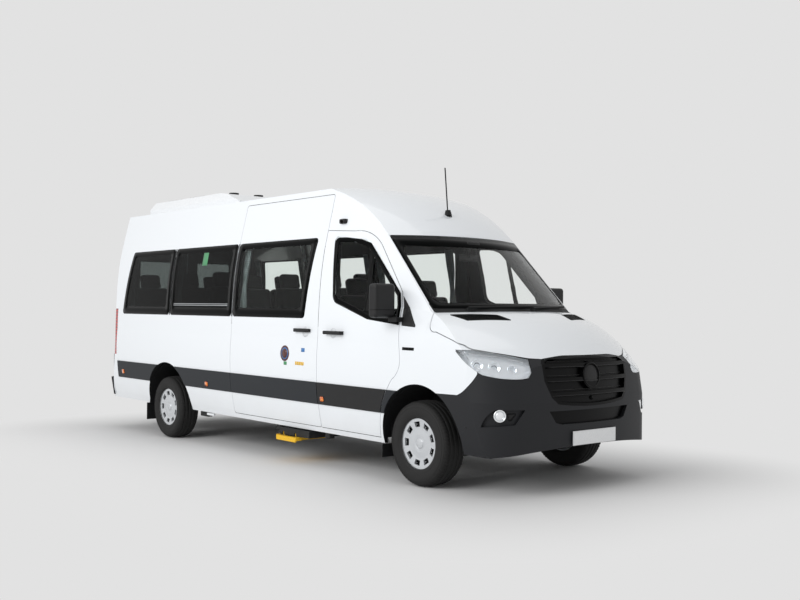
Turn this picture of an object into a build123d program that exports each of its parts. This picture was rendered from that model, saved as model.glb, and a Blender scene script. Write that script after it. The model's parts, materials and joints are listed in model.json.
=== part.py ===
from build123d import *
import os
from math import cos, radians, sin, sqrt, tan

# Long high-roof battery minibus, left-hand drive, with one sliding door on its right side.
# +X is forward, +Y is the left side, +Z is up; the origin is on the ground under the middle.

# ---------------------------------------------------------------- driving dimensions
LENGTH = 6975
FRONT_OVERHANG = 1023
WHEELBASE = 4325
TRACK_FRONT = 1732
TRACK_REAR = 1736
TYRE_DIA = 696
TYRE_WIDTH = 235
RAKE = 0.78          # the unladen body sits nose down by this angle, in degrees

HALF_WIDTH = 1008    # widest place of the side wall
ROOF_HEIGHT = 2594   # crown of the roof, in the body's own level frame
ROOF_EDGE_HEIGHT = 2547
ROOF_EDGE_RADIUS = 170
SILL_HEIGHT = 300
WALL = 50            # whole thickness of a wall, door or panel
GLASS = 5            # pane thickness
SHUT_GAP = 5         # gap round a door or lid
SEAT_GAP = 0.3       # gap round a pane or a fixed piece in its rebate
RUN_GAP = 0.1        # radial gap of a shaft in its bore
OPEN_BELOW = -200    # an inner space runs out below here

CAB_JOIN_X = -1370   # behind here the body keeps one section
COWL_X = 50          # ahead of here the nose keeps one section
BODY_END_X = -5872   # rear wall at the sill
REAR_LEAN = 3.4      # rear wall leans forward by this angle, in degrees
REAR_TOP_RADIUS = 400
REAR_CORNER_RADIUS = 200

SCREEN_SLOPE = 44.4  # windscreen, in degrees from level
SCREEN_FOOT_X = 230
SCREEN_FOOT_Z = 1430
SCREEN_TOP_Z = 2088
SCREEN_PLAN_RADIUS = 1640
FOREHEAD_RADIUS = 1890

HOOD_RADIUS = 1440   # side profile of the hood, about HOOD_CENTRE
HOOD_CENTRE = (-26, 12)
HOOD_PLAN_RADIUS = 1300

NOSE_X = 1008        # bumper face on the centreline
NOSE_PLAN_RADIUS = 2600
NOSE_CORNER_RADIUS = 400
NOSE_SIDE_Y = 1010
NOSE_LEAN = 10       # the face leans back above NOSE_LEAN_Z
NOSE_LEAN_Z = 730

# ---------------------------------------------------------------- worked-out places
FRONT_AXLE_X = LENGTH / 2 - FRONT_OVERHANG
BODY = Location((FRONT_AXLE_X, 0, 0), (0, RAKE, 0))


def across(x):
    """Plane across the vehicle at x, with its own x to the left and its own y up."""
    return Plane(origin=(x, 0, 0), x_dir=(0, 1, 0), z_dir=(1, 0, 0))


def along(y):
    """Plane along the vehicle at y, with its own x forward and its own y up."""
    return Plane(origin=(0, y, 0), x_dir=(1, 0, 0), z_dir=(0, -1, 0))


# half section of the body: (half width, height) at sill, rocker, widest, shoulder, belt, head, edge
REAR_SECTION = {
    "sill": (930, SILL_HEIGHT), "rocker": (950, 375), "widest": (1003, 720), "shoulder": (1000, 1150),
    "belt": (979, 1600), "bow": (957, 1805), "head": (923, 2005), "edge": (796, ROOF_EDGE_HEIGHT),
}
COWL_SECTION = {
    "sill": (930, SILL_HEIGHT), "rocker": (950, 375), "widest": (997, 720), "shoulder": (982, 1120),
    "belt": (857, 1408), "bow": (784, 1700), "head": (704, 2005), "edge": (562, ROOF_EDGE_HEIGHT),
}


def body_section(x, section, inset):
    """Closed cross-section of the body, drawn in by inset and then open below."""
    low = SILL_HEIGHT if inset == 0 else OPEN_BELOW
    at = {name: (y - inset, z) for name, (y, z) in section.items()}
    at["sill"] = (section["sill"][0] - inset, low)
    at["edge"] = (section["edge"][0] - inset, section["edge"][1] - inset)
    with BuildSketch(across(x)) as outline:
        with BuildLine():
            for side in (1, -1):
                p = {name: (side * y, z) for name, (y, z) in at.items()}
                Line(p["sill"], p["rocker"])
                ThreePointArc(p["rocker"], p["widest"], p["shoulder"])
                mid_y = (at["shoulder"][0] + at["belt"][0]) / 2 + BELT_BULGE[section["belt"]]
                shoulder_mid = (side * mid_y, (at["shoulder"][1] + at["belt"][1]) / 2)
                ThreePointArc(p["shoulder"], shoulder_mid, p["belt"])
                ThreePointArc(p["belt"], p["bow"], p["head"])
                Line(p["head"], p["edge"])
            edge_y, edge_z = at["edge"]
            ThreePointArc((edge_y, edge_z), (0, ROOF_HEIGHT - inset), (-edge_y, edge_z))
            Line((at["sill"][0], low), (-at["sill"][0], low))
        make_face()
        edges = [v for v in outline.vertices() if v.Z > ROOF_EDGE_HEIGHT - inset - 1]
        fillet(edges, ROOF_EDGE_RADIUS - inset)
    return outline.sketch


# how far the arc between shoulder and belt stands out from its chord
BELT_BULGE = {REAR_SECTION["belt"]: 3, COWL_SECTION["belt"]: 26}


def screen_profile(y, inset):
    """Side profile of rear wall, roof, forehead and windscreen at the distance y from the middle."""
    slope = radians(SCREEN_SLOPE)
    lean = radians(REAR_LEAN)
    setback = y * y / (2 * SCREEN_PLAN_RADIUS) + inset / sin(slope)
    roof = ROOF_HEIGHT + 18 - inset
    radius = FOREHEAD_RADIUS - inset
    foot = (SCREEN_FOOT_X + (SCREEN_FOOT_Z - 1300) / tan(slope) - setback, 1300)
    brow_z = roof - radius * (1 - cos(slope))
    brow = (foot[0] - (brow_z - 1300) / tan(slope), brow_z)
    crest = (brow[0] - radius * sin(slope), roof)
    middle = (brow[0] - radius * (sin(slope) - sin(slope / 2)), roof - radius * (1 - cos(slope / 2)))
    low = OPEN_BELOW if inset else SILL_HEIGHT - 50
    back = BODY_END_X + inset - SILL_HEIGHT * tan(lean)
    with BuildSketch(along(y)) as outline:
        with BuildLine():
            Line(foot, brow)
            ThreePointArc(brow, middle, crest)
            rear_top = (back + roof * tan(lean), roof)
            Polyline(crest, rear_top, (back + low * tan(lean), low), (foot[0], low), foot)
        make_face()
        corner = [v for v in outline.vertices() if v.X < BODY_END_X + 400 and v.Z > 2000]
        fillet(corner, REAR_TOP_RADIUS - inset)
    return outline.sketch


def hood_profile(y, inset):
    """Side profile under the hood at the distance y from the middle."""
    radius = HOOD_RADIUS - inset
    centre_x = HOOD_CENTRE[0] - y * y / (2 * HOOD_PLAN_RADIUS)
    low = OPEN_BELOW if inset else SILL_HEIGHT - 50
    reach = 1250
    ends = [(x, HOOD_CENTRE[1] + sqrt(radius**2 - (x - HOOD_CENTRE[0])**2)) for x in (-200, 400, reach)]
    arc = [(x + centre_x - HOOD_CENTRE[0], z) for x, z in ends]
    with BuildSketch(along(y)) as outline:
        with BuildLine():
            ThreePointArc(*arc)
            Polyline(arc[2], (arc[2][0], low), (arc[0][0], low), arc[0])
        make_face()
    return outline.sketch


def plan_outline(front_x, side, front_radius, corner_radius, z, back_x, back_radius):
    """Plan outline with a bowed front edge and rounded corners, on a level plane at z."""
    edge_x = front_x - front_radius + sqrt(front_radius**2 - side**2) if front_radius else front_x
    with BuildSketch(Plane.XY.offset(z)) as outline:
        with BuildLine():
            if front_radius:
                ThreePointArc((edge_x, side), (front_x, 0), (edge_x, -side))
            else:
                Line((edge_x, side), (edge_x, -side))
            Polyline((edge_x, -side), (back_x, -side), (back_x, side), (edge_x, side))
        make_face()
        if corner_radius:
            fillet([v for v in outline.vertices() if v.X > back_x + 1], corner_radius)
        if back_radius:
            fillet([v for v in outline.vertices() if v.X < back_x + 1], back_radius)
    return outline.sketch


LOFT_Y = (-1100, -560, 0, 560, 1100)


def envelope(inset):
    """The body's outer form, drawn in by inset."""
    lean = radians(NOSE_LEAN)
    rear_lean = radians(REAR_LEAN)
    low = OPEN_BELOW if inset else SILL_HEIGHT - 50
    side = NOSE_SIDE_Y - inset
    front = NOSE_X - inset
    nose_radius = NOSE_PLAN_RADIUS - inset
    corner = NOSE_CORNER_RADIUS - inset
    with BuildPart() as face:
        lower_plan = plan_outline(front, side, nose_radius, corner, low - 10, -400, 0)
        extrude(lower_plan, amount=NOSE_LEAN_Z - low + 10)
        high_plan = plan_outline(front, side, nose_radius, corner, NOSE_LEAN_Z, -400, 0)
        extrude(high_plan, amount=1000, dir=(-sin(lean), 0, cos(lean)))
    with BuildPart() as forms:
        loft([hood_profile(y, inset) for y in LOFT_Y])
        add(face.part, mode=Mode.INTERSECT)
        with BuildPart(mode=Mode.PRIVATE) as top:
            loft([screen_profile(y, inset) for y in LOFT_Y])
        add(top.part)
    back_x = BODY_END_X + inset - (SILL_HEIGHT - low) * tan(rear_lean)
    with BuildPart() as back:
        back_plan = plan_outline(1500, HALF_WIDTH + 4 - inset, 0, 0, low, back_x, REAR_CORNER_RADIUS - inset)
        extrude(back_plan, amount=(2800 - low) / cos(rear_lean), dir=(sin(rear_lean), 0, cos(rear_lean)))
    with BuildPart() as whole:
        rear = body_section(BODY_END_X - 200, REAR_SECTION, inset)
        extrude(rear, amount=CAB_JOIN_X - BODY_END_X + 200, dir=(1, 0, 0))
        cab_ends = [body_section(CAB_JOIN_X, REAR_SECTION, inset), body_section(COWL_X, COWL_SECTION, inset)]
        loft(cab_ends, ruled=True)
        extrude(body_section(COWL_X, COWL_SECTION, inset), amount=1200, dir=(1, 0, 0))
        add(forms.part, mode=Mode.INTERSECT)
        add(back.part, mode=Mode.INTERSECT)
    return whole.part


def closed_sketch(plane, path, shrink=0, corner=0):
    """Face inside a path: a point ends a line, a (middle, end) pair ends an arc."""
    with BuildSketch(plane, mode=Mode.PRIVATE) as outline:
        with BuildLine():
            here = path[0]
            for step in path[1:] + [path[0]]:
                if isinstance(step[0], tuple):
                    ThreePointArc(here, step[0], step[1])
                    here = step[1]
                else:
                    Line(here, step)
                    here = step
        make_face()
        if corner:
            fillet(outline.vertices(), corner)
        if shrink:
            offset(amount=-shrink, kind=Kind.ARC, mode=Mode.REPLACE)
    return outline.sketch


def right_prism(path, shrink=0, corner=0):
    """Prism through the right side wall, from a path of (x, z) points."""
    return extrude(closed_sketch(along(-250), path, shrink, corner), amount=900, mode=Mode.PRIVATE)


def both_prism(path, shrink=0, corner=0):
    """Prism through both side walls, from a path of (x, z) points."""
    return extrude(closed_sketch(along(1200), path, shrink, corner), amount=2400, mode=Mode.PRIVATE)


def front_prism(path, x_from, x_to, shrink=0, corner=0):
    """Prism along X, from a path of (y, z) points."""
    face = closed_sketch(across(x_from), path, shrink, corner)
    return extrude(face, amount=x_to - x_from, mode=Mode.PRIVATE)


def corner_plane():
    """Plane facing the right front corner; its own x is (x + y) / sqrt(2)."""
    return Plane(origin=(300, -300, 0), x_dir=(1, 1, 0), z_dir=(1, -1, 0))


def corner_prism(path, shrink=0, corner=0):
    """Prism through the right front corner of the nose."""
    return extrude(closed_sketch(corner_plane(), path, shrink, corner), amount=900, mode=Mode.PRIVATE)


def other_side(shape):
    """The same shape on the other side of the vehicle."""
    return mirror(shape, about=Plane.XZ, mode=Mode.PRIVATE)


def save(piece, node, seat=BODY):
    """Put a piece at its place in the vehicle and write it as its own node."""
    placed = seat * piece
    placed.label = node
    export_step(placed, f"parts/{node}.step")


os.makedirs("parts", exist_ok=True)

# ---------------------------------------------------------------- outlines, in the body's frame
DOOR_REAR_X = -1370
DOOR_SILL_Z = 344
FRONT_DOOR = [
    (DOOR_REAR_X, DOOR_SILL_Z), (-507, DOOR_SILL_Z), ((-437, 632), (-300, 852)),
    ((-228, 925), (-211, 1035)), (-331, 1579), (-660, 1985), ((-800, 2090), (-1022, 2131)), (DOOR_REAR_X, 2150),
]
DOOR_PANE = [
    (-1254, 2035), ((-1243, 2073), (-1199, 2085)), (-939, 2054), ((-830, 2030), (-745, 1970)), (-352, 1568),
    (-278, 1300), (-392, 1312), (-688, 1342), (-1114, 1472), ((-1170, 1510), (-1190, 1570)),
]
SAIL_PANE = [(-318, 1550), (-80, 1300), (-80, 1286), (-243, 1296)]
SLIDE_FRONT_X = DOOR_REAR_X + SHUT_GAP
SLIDE_REAR_X = -2900
SLIDE_TOP_Z = 2490
SLIDING_DOOR = [
    (SLIDE_REAR_X, DOOR_SILL_Z), (SLIDE_FRONT_X, DOOR_SILL_Z),
    (SLIDE_FRONT_X, SLIDE_TOP_Z), (SLIDE_REAR_X, SLIDE_TOP_Z),
]
PANE_LOW_Z = 1338
PANE_TOP_Z = 2087
PANE_CORNER = 40
PANE_FLANGE = 45
# side panes: (front x at the bottom, front x at the top, rear x at the bottom, rear x at the top)
SIDE_PANES = [(-1597, -1489, -2885, -2885), (-2915, -2915, -4262, -4262), (-4288, -4288, -5501, -5368)]

FRONT_WHEEL_Z = TYRE_DIA / 2
REAR_WHEEL = (-4329, 289)
FRONT_ARCH = (12, 345, 485)
REAR_ARCH = (REAR_WHEEL[0], REAR_WHEEL[1], 510)
ROOF_SEAM_Z = 2440
SCREEN_HALF_TOP = 785
SCREEN_HALF_LOW = 836
SCREEN_PANE = [
    (-SCREEN_HALF_LOW, 1440), ((0, 1446), (SCREEN_HALF_LOW, 1440)),
    (SCREEN_HALF_TOP, 2076), ((0, 2086), (-SCREEN_HALF_TOP, 2076)),
]
COWL_ACROSS = [(-838, 1330), (838, 1330), (838, 1482), (-838, 1482)]
HOOD_FRONT_Z = 1084
HOOD_SIDE = [
    (45, 1440), (80, 1330), ((112, 1273), (180, 1258)), (394, 1199), (501, 1163),
    ((530, 1146), (560, 1133)), (738, 1091), (828, 1066), (873, 1060), (905, HOOD_FRONT_Z),
    (1150, HOOD_FRONT_Z), (1150, 1700), (45, 1700),
]
BUMPER_SIDE = [
    (-200, 766), (480, 779), ((548, 814), (664, 945)), (664, 1250), (1150, 1250), (1150, 200), (-200, 200),
]
FENDER_SIDE = [
    (-515, DOOR_SILL_Z), (760, DOOR_SILL_Z), (760, 1410), (-330, 1410), (-330, 900), (-515, 800),
]
ROOF_SIDE = [
    (300, 2088), (-655, 2088), (CAB_JOIN_X, ROOF_SEAM_Z), (-6200, ROOF_SEAM_Z), (-6200, 2900), (300, 2900),
]
LAMP = [
    (-381, 1127), (-256, 1126), (38, 1082), (174, 1056), (198, 958), (178, 920), (121, 912),
    ((-14, 917), (-176, 944)), ((-310, 1036), (-381, 1112)),
]
GRILLE = [
    (-484, 1057), (-430, 1079), (430, 1079), (484, 1057), (511, 1025), (504, 890), (451, 762), (394, 712),
    ((0, 686), (-394, 712)), (-451, 762), (-504, 890), (-511, 1025),
]
INTAKE = [(-480, 661), (480, 661), (417, 570), (354, 555), (-354, 555), (-417, 570)]
FOG_RECESS = [(-182, 549), ((-140, 632), (-69, 683)), (153, 680), (76, 568)]
FOG_LAMP = (-40, 636, 42)
REAR_DOOR_HALF = 800
REAR_DOOR_LOW_Z = 560
REAR_DOOR_TOP_Z = 2415
REAR_DOOR_LIFT = 10   # room above the leaves, whose inner top edge rises as they swing
REAR_DOOR_INNER_X = -5600
REAR_PANE = [(-690, 1380), (-115, 1380), (-115, 2040), (-690, 2040)]
FOG_DEPTH = 30
PLATE_SEAT_X = 1010
PLATE_Z = 443
GRILLE_SLATS = (790, 900, 1010)
GRILLE_BOSS = (925, 108)   # height and radius
MOULDING = 8
MIRROR_SIZE = (110, 215, 285)
MIRROR_BASE = (-365, -1065, 1360)
HANDLE_Y = 1010
REAR_BUMPER_X = -5957
REAR_BUMPER_LIP_X = -5800   # where its side wraps end
REAR_BUMPER_TUCK = 34
TAIL_FRONT_X = -5630
WELL_OUT_Y = 945
WELL_FRONT_Y = 500
WELL_REAR_Y = 620
WELL_WALL = 4
MUD_FLAPS = [(-450, 187, 560), (-4850, 101, 600)]
# windows in the inner arches for arms and axle: (x, top, width)
AXLE_WINDOWS = [(0, 640, 120), (REAR_WHEEL[0], 400, 140)]
FLOOR_TOP_Z = 640
FLOOR_DEPTH = 40
FLOOR_MIDDLE_X = -2940
FLOOR_LENGTH = 5750
FIREWALL_X = -85
STEP_X = -1734
STEP_LENGTH = 604
WELL_STEP_Y = 610
STEP_FLOOR_Z = 400
STEP_RUNNER_X = (-1976, -1776)
STEP_HOUSING = (-1790, 490)   # middle x and length
STEP_TREAD = (-1876, 320)
RAIL_Y = 420
RAIL_WIDTH = 70
RAIL_DEPTH = 150
RAIL_FRONT_X = 800
RAIL_REAR_X = -5740
BAY_WIDTH = 2 * RAIL_Y - RAIL_WIDTH - 2 * SEAT_GAP   # room between the rails
CROSS_MEMBER_X = (-900, -3720, -4900)
POWER_UNIT = (300, 380, 560, 560)      # middle x, low z, length, height
BATTERY = (-2310, 262, 2700, 250)
AIRCON_HALF = 650
AIRCON_SIDE = [
    (-5480, 2480), (-5480, 2640), (-5400, 2752), ((-4500, 2768), (-3660, 2692)), (-3340, 2590), (-3340, 2480),
]
AIRCON_FRONT = [
    (-650, 2400), (-650, 2625), (-600, 2715), ((0, 2785), (600, 2715)), (650, 2625), (650, 2400),
]
DASH_SIDE = [(-105, 880), (-105, 1385), (-380, 1300), (-560, 1250), (-610, 1080), (-470, 880)]
COLUMN_R = 10
COLUMN_PLANE = Plane(origin=(-690, 440, 1180), x_dir=(0, 1, 0), z_dir=(-0.53, 0, 0.85))
SEAT_ROWS = (-2150, -2960, -3770, -4750)
# curtains: (middle x, width)
CURTAINS = [(-1620, 120), (-2790, 110), (-3020, 110), (-4180, 100), (-4370, 100), (-5380, 110)]
CURTAIN_HEIGHTS = (PANE_LOW_Z + 20, 1600, 1805, PANE_TOP_Z - 27)
CURTAIN_THICK = 28
MAST_FOOT_Z = 2260
WIPERS = [(-560, 90), (120, 700)]
KINGPIN_Y = 800
KINGPIN_R = 14
KNUCKLE_LOW_Z = 232
KNUCKLE_HIGH_Z = 464
SPINDLE_R = 30
SPRING_Y = 560
TOWER_IN_Y = RAIL_Y + RAIL_WIDTH / 2 + SEAT_GAP
BEAD_R = 204
VENT_COUNT = 9
VENT = (135, 178, 34)
RIM_SECTION = [
    (84.2, 203.7), (84.2, 219), (92, 219), (90, 190), (80, 120), (84, 70), (78, 0), (70, 0),
    (70, SPINDLE_R + RUN_GAP), (20, SPINDLE_R + RUN_GAP), (20, 62), (60, 66), (66, 120), (72, 186),
    (60, 193), (-80, 193), (-92, 219), (-84.2, 219),
    (-84.2, 203.7),
]

# ---------------------------------------------------------------- shells
OUTER = envelope(0)
INNER = envelope(WALL)
with BuildPart() as skin:
    add(OUTER)
    add(INNER, mode=Mode.SUBTRACT)
with BuildPart() as pane_layer:
    add(OUTER)
    add(envelope(GLASS), mode=Mode.SUBTRACT)
with BuildPart() as rebate_layer:
    add(OUTER)
    add(envelope(GLASS + SEAT_GAP), mode=Mode.SUBTRACT)
SKIN = skin.part
PANES = pane_layer.part
REBATE = rebate_layer.part


# ---------------------------------------------------------------- cutters shared by the panels
def side_pane_path(row):
    """Path of one side pane from its row in SIDE_PANES."""
    front_low, front_top, rear_low, rear_top = row
    return [(front_low, PANE_LOW_Z), (front_top, PANE_TOP_Z), (rear_top, PANE_TOP_Z), (rear_low, PANE_LOW_Z)]


def arch_cutter(arch):
    """Cylinder through both sides that opens a wheel arch."""
    x, z, radius = arch
    with BuildPart() as cutter:
        with BuildSketch(along(1300)):
            with Locations((x, z)):
                Circle(radius)
        extrude(amount=2600)
    return cutter.part


def corner_prisms(path, shrink=0):
    """A corner prism and its mirror image."""
    right = corner_prism(path, shrink)
    return [right, other_side(right)]


def upright(bottom, size):
    """Box on its base centre, as a private solid: bottom is (x, y, z), size is (x, y, z)."""
    block = Box(*size, align=(Align.CENTER, Align.CENTER, Align.MIN), mode=Mode.PRIVATE)
    return Location(bottom) * block


HOOD_REGION = both_prism(HOOD_SIDE)
HOOD_OPENING = Location((-SHUT_GAP, 0, -SHUT_GAP)) * HOOD_REGION
BUMPER_REGION = both_prism(BUMPER_SIDE)
ROOF_REGION = both_prism(ROOF_SIDE)
SLIDE_REGION = right_prism(SLIDING_DOOR, corner=30)
DOOR_REGION = right_prism(FRONT_DOOR)
DOOR_REGIONS = [DOOR_REGION, other_side(DOOR_REGION)]
FRONT_ARCH_CUT = arch_cutter(FRONT_ARCH)
REAR_ARCH_CUT = arch_cutter(REAR_ARCH)
REAR_DOOR_REGION = front_prism(
    [(-REAR_DOOR_HALF, REAR_DOOR_LOW_Z), (REAR_DOOR_HALF, REAR_DOOR_LOW_Z),
     (REAR_DOOR_HALF, REAR_DOOR_TOP_Z), (-REAR_DOOR_HALF, REAR_DOOR_TOP_Z)], -6100, REAR_DOOR_INNER_X)

# ---------------------------------------------------------------- glass of the cabin
with BuildPart() as windscreen:
    add(PANES)
    add(front_prism(SCREEN_PANE, -1000, 400, SEAT_GAP), mode=Mode.INTERSECT)
save(windscreen.part, "windscreen")

with BuildPart() as side_windows:
    with BuildPart(mode=Mode.PRIVATE) as openings:
        for row in SIDE_PANES:
            add(both_prism(side_pane_path(row), SEAT_GAP, PANE_CORNER))
        add(right_prism(SAIL_PANE, SEAT_GAP))
        add(other_side(right_prism(SAIL_PANE, SEAT_GAP)))
    add(PANES)
    add(openings.part, mode=Mode.INTERSECT)
save(side_windows.part, "side_windows")

# ---------------------------------------------------------------- fixed body panels
with BuildPart() as window_cuts:
    for row in SIDE_PANES:
        add(both_prism(side_pane_path(row), PANE_FLANGE, 20))
with BuildPart() as window_rebates:
    with BuildPart(mode=Mode.PRIVATE) as pane_outlines:
        for row in SIDE_PANES:
            add(both_prism(side_pane_path(row), 0, PANE_CORNER))
        add(right_prism(SAIL_PANE))
        add(other_side(right_prism(SAIL_PANE)))
        add(front_prism(SCREEN_PANE, -1000, 400))
    add(REBATE)
    add(pane_outlines.part, mode=Mode.INTERSECT)
SCREEN_HOLE = front_prism(SCREEN_PANE, -1000, 500, 40)

FENDER_REGION = both_prism(FENDER_SIDE)
COWL_FRONT_X = 268
COWL_ROOM = front_prism(COWL_ACROSS, -200, 400)


def cowl_plan(front_x):
    """Plan prism of what lies behind an arc parallel to the windscreen's foot."""
    sag = 900**2 / (2 * SCREEN_PLAN_RADIUS)
    with BuildPart() as region:
        with BuildSketch(Plane.XY.offset(1150)):
            with BuildLine():
                ThreePointArc((front_x - sag, 900), (front_x, 0), (front_x - sag, -900))
                Polyline((front_x - sag, -900), (-400, -900), (-400, 900), (front_x - sag, 900))
            make_face()
        extrude(amount=600)
    return region.part


POST_DEPTH = 45
POST_GAP = 6         # from a door's inner face to the post or sill behind it
POST_ROOT = 10       # how far a post runs into a wall that it is joined to
SILL_JOIN_Z = 338
SILL_TOP_Z = 390
POST_TOP_Z = 2430
# posts and sills inside each side wall: (rear x, front x, low z, high z, outer face from the inner wall)
INNER_POSTS = [
    (-1427, -1350, SILL_JOIN_Z, POST_TOP_Z, -POST_GAP),
    (-1362, -1317, 2160, 2380, POST_ROOT),
    (-2896, -2860, SILL_JOIN_Z, POST_TOP_Z, -POST_GAP),
    (-2950, -2903, SILL_JOIN_Z, POST_TOP_Z, POST_ROOT),
    (-2910, -2890, SILL_JOIN_Z, POST_TOP_Z, -POST_GAP),
    (-4305, -4245, 1290, POST_TOP_Z, POST_ROOT),
    (-3800, -530, SILL_HEIGHT, SILL_JOIN_Z, POST_ROOT),
    (-3800, -530, SILL_JOIN_Z, SILL_TOP_Z, -POST_GAP),
]


def wall_face(z):
    """Inner face of the side wall at a height, straight between the section's points."""
    points = list(REAR_SECTION.values())[:-1] + [(REAR_SECTION["edge"][0], ROOF_EDGE_HEIGHT - WALL)]
    for (low_y, low_z), (high_y, high_z) in zip(points, points[1:]):
        if z <= high_z:
            return low_y + (high_y - low_y) * (z - low_z) / (high_z - low_z) - WALL
    return points[-1][0] - WALL


def wall_post(rear_x, front_x, low, high, out, side):
    """Post or sill that follows the inner face of one side wall."""
    heights = [low] + [z for _, z in REAR_SECTION.values() if low < z < high] + [high]
    outer = [(side * (wall_face(z) + out), z) for z in heights]
    inner = [(side * (wall_face(z) - POST_DEPTH), z) for z in reversed(heights)]
    return front_prism(outer + inner, rear_x, front_x)


TAIL_REGION = front_prism([(-1100, 840), (-835, 840), (-835, 1400), (-1100, 1400)], -6100, TAIL_FRONT_X)


with BuildPart() as roof_panel:
    add(SKIN)
    add(ROOF_REGION, mode=Mode.INTERSECT)
    add(SLIDE_REGION, mode=Mode.SUBTRACT)
    add(SCREEN_HOLE, mode=Mode.SUBTRACT)
    add(window_rebates.part, mode=Mode.SUBTRACT)
save(roof_panel.part, "roof_panel")

with BuildPart() as frames:
    add(SKIN)
    whole_front = [(-1100, 0), (1100, 0), (1100, 2800), (-1100, 2800)]
    add(front_prism(whole_front, -6200, COWL_X), mode=Mode.INTERSECT)
    for region in (ROOF_REGION, *DOOR_REGIONS, SLIDE_REGION, REAR_DOOR_REGION, REAR_ARCH_CUT):
        add(region, mode=Mode.SUBTRACT)
    for region in (FENDER_REGION, HOOD_OPENING, FRONT_ARCH_CUT, SCREEN_HOLE, COWL_ROOM):
        add(region, mode=Mode.SUBTRACT)
    add(window_cuts.part, mode=Mode.SUBTRACT)
    add(window_rebates.part, mode=Mode.SUBTRACT)
    for prism in (TAIL_REGION, other_side(TAIL_REGION)):
        add(prism, mode=Mode.SUBTRACT)
for node, y_from in (("side_frame_right", -1100), ("side_frame_left", 0)):
    middle = -1 if y_from < 0 else 1
    with BuildPart() as half:
        add(frames.part)
        side = [(y_from, 0), (y_from + 1100, 0), (y_from + 1100, 2800), (y_from, 2800)]
        add(front_prism(side, -6200, 1200), mode=Mode.INTERSECT)
        for post in INNER_POSTS:
            add(wall_post(*post, middle))
    save(half.part, node)
with BuildPart() as fenders:
    add(SKIN)
    add(FENDER_REGION, mode=Mode.INTERSECT)
    for region in (*DOOR_REGIONS, HOOD_OPENING, BUMPER_REGION, FRONT_ARCH_CUT, COWL_ROOM):
        add(region, mode=Mode.SUBTRACT)
    for prism in corner_prisms(LAMP, -SEAT_GAP):
        add(prism, mode=Mode.SUBTRACT)
    add(window_rebates.part, mode=Mode.SUBTRACT)
save(fenders.part, "fenders")

with BuildPart() as hood:
    add(SKIN)
    add(HOOD_REGION, mode=Mode.INTERSECT)
    add(cowl_plan(COWL_FRONT_X + SHUT_GAP), mode=Mode.SUBTRACT)
save(hood.part, "hood")

with BuildPart() as cowl_panel:
    add(SKIN)
    add(front_prism(COWL_ACROSS, -200, 400, SEAT_GAP), mode=Mode.INTERSECT)
    add(cowl_plan(COWL_FRONT_X), mode=Mode.INTERSECT)
    add(SCREEN_HOLE, mode=Mode.SUBTRACT)
    add(window_rebates.part, mode=Mode.SUBTRACT)
save(cowl_panel.part, "cowl_panel")

LAMP_WALL = 4
with BuildPart() as headlamp_lenses:
    add(PANES)
    with BuildPart(mode=Mode.PRIVATE) as lens_outline:
        for prism in corner_prisms(LAMP):
            add(prism)
        add(HOOD_OPENING, mode=Mode.SUBTRACT)
    add(lens_outline.part, mode=Mode.INTERSECT)

fog_shift = FOG_DEPTH / sqrt(2)
fog_pocket = corner_prism(FOG_RECESS) - Location((-fog_shift, fog_shift, 0)) * OUTER
with BuildPart() as fog_lamp:
    with BuildSketch(corner_plane()):
        with Locations((FOG_LAMP[0], FOG_LAMP[1])):
            Circle(FOG_LAMP[2])
    extrude(amount=900)
    add(Location((-4, 4, 0)) * OUTER, mode=Mode.INTERSECT)
    add(Location((-fog_shift, fog_shift, 0)) * OUTER, mode=Mode.SUBTRACT)
with BuildPart() as lamp_glass:
    add(headlamp_lenses.part)
    add(fog_lamp.part)
    add(other_side(fog_lamp.part))
save(lamp_glass.part, "headlamp_lenses")

bowl_hollow = corner_prism(LAMP, LAMP_WALL) - Location((LAMP_WALL, -LAMP_WALL, 0)) * INNER
with BuildPart() as headlamp_bowls:
    add(SKIN)
    add(lens_outline.part, mode=Mode.INTERSECT)
    add(REBATE, mode=Mode.SUBTRACT)
    add(bowl_hollow, mode=Mode.SUBTRACT)
    add(other_side(bowl_hollow), mode=Mode.SUBTRACT)
save(headlamp_bowls.part, "headlamp_bowls")

# ---------------------------------------------------------------- front end
BUMPER_CHIN = [(-1100, 100), (1100, 100), (1100, 290), ((0, 385), (-1100, 290))]
GRILLE_REGION = front_prism(GRILLE, 700, 1200)
INTAKE_REGION = front_prism(INTAKE, 700, 1200)
with BuildPart() as front_bumper:
    add(SKIN)
    add(BUMPER_REGION, mode=Mode.INTERSECT)
    for region in (HOOD_OPENING, FRONT_ARCH_CUT, GRILLE_REGION, INTAKE_REGION):
        add(region, mode=Mode.SUBTRACT)
    for prism in corner_prisms(LAMP, -SEAT_GAP):
        add(prism, mode=Mode.SUBTRACT)
    add(fog_pocket, mode=Mode.SUBTRACT)
    add(other_side(fog_pocket), mode=Mode.SUBTRACT)
    add(front_prism(BUMPER_CHIN, 480, 1200), mode=Mode.SUBTRACT)
    add(upright((PLATE_SEAT_X - 20, 0, PLATE_Z - 45), (40, 500, 90)))
save(front_bumper.part, "front_bumper")

front_plate = upright((PLATE_SEAT_X + 3, 0, PLATE_Z - 55), (6, 520, 110))
save(front_plate, "front_plate")

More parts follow.
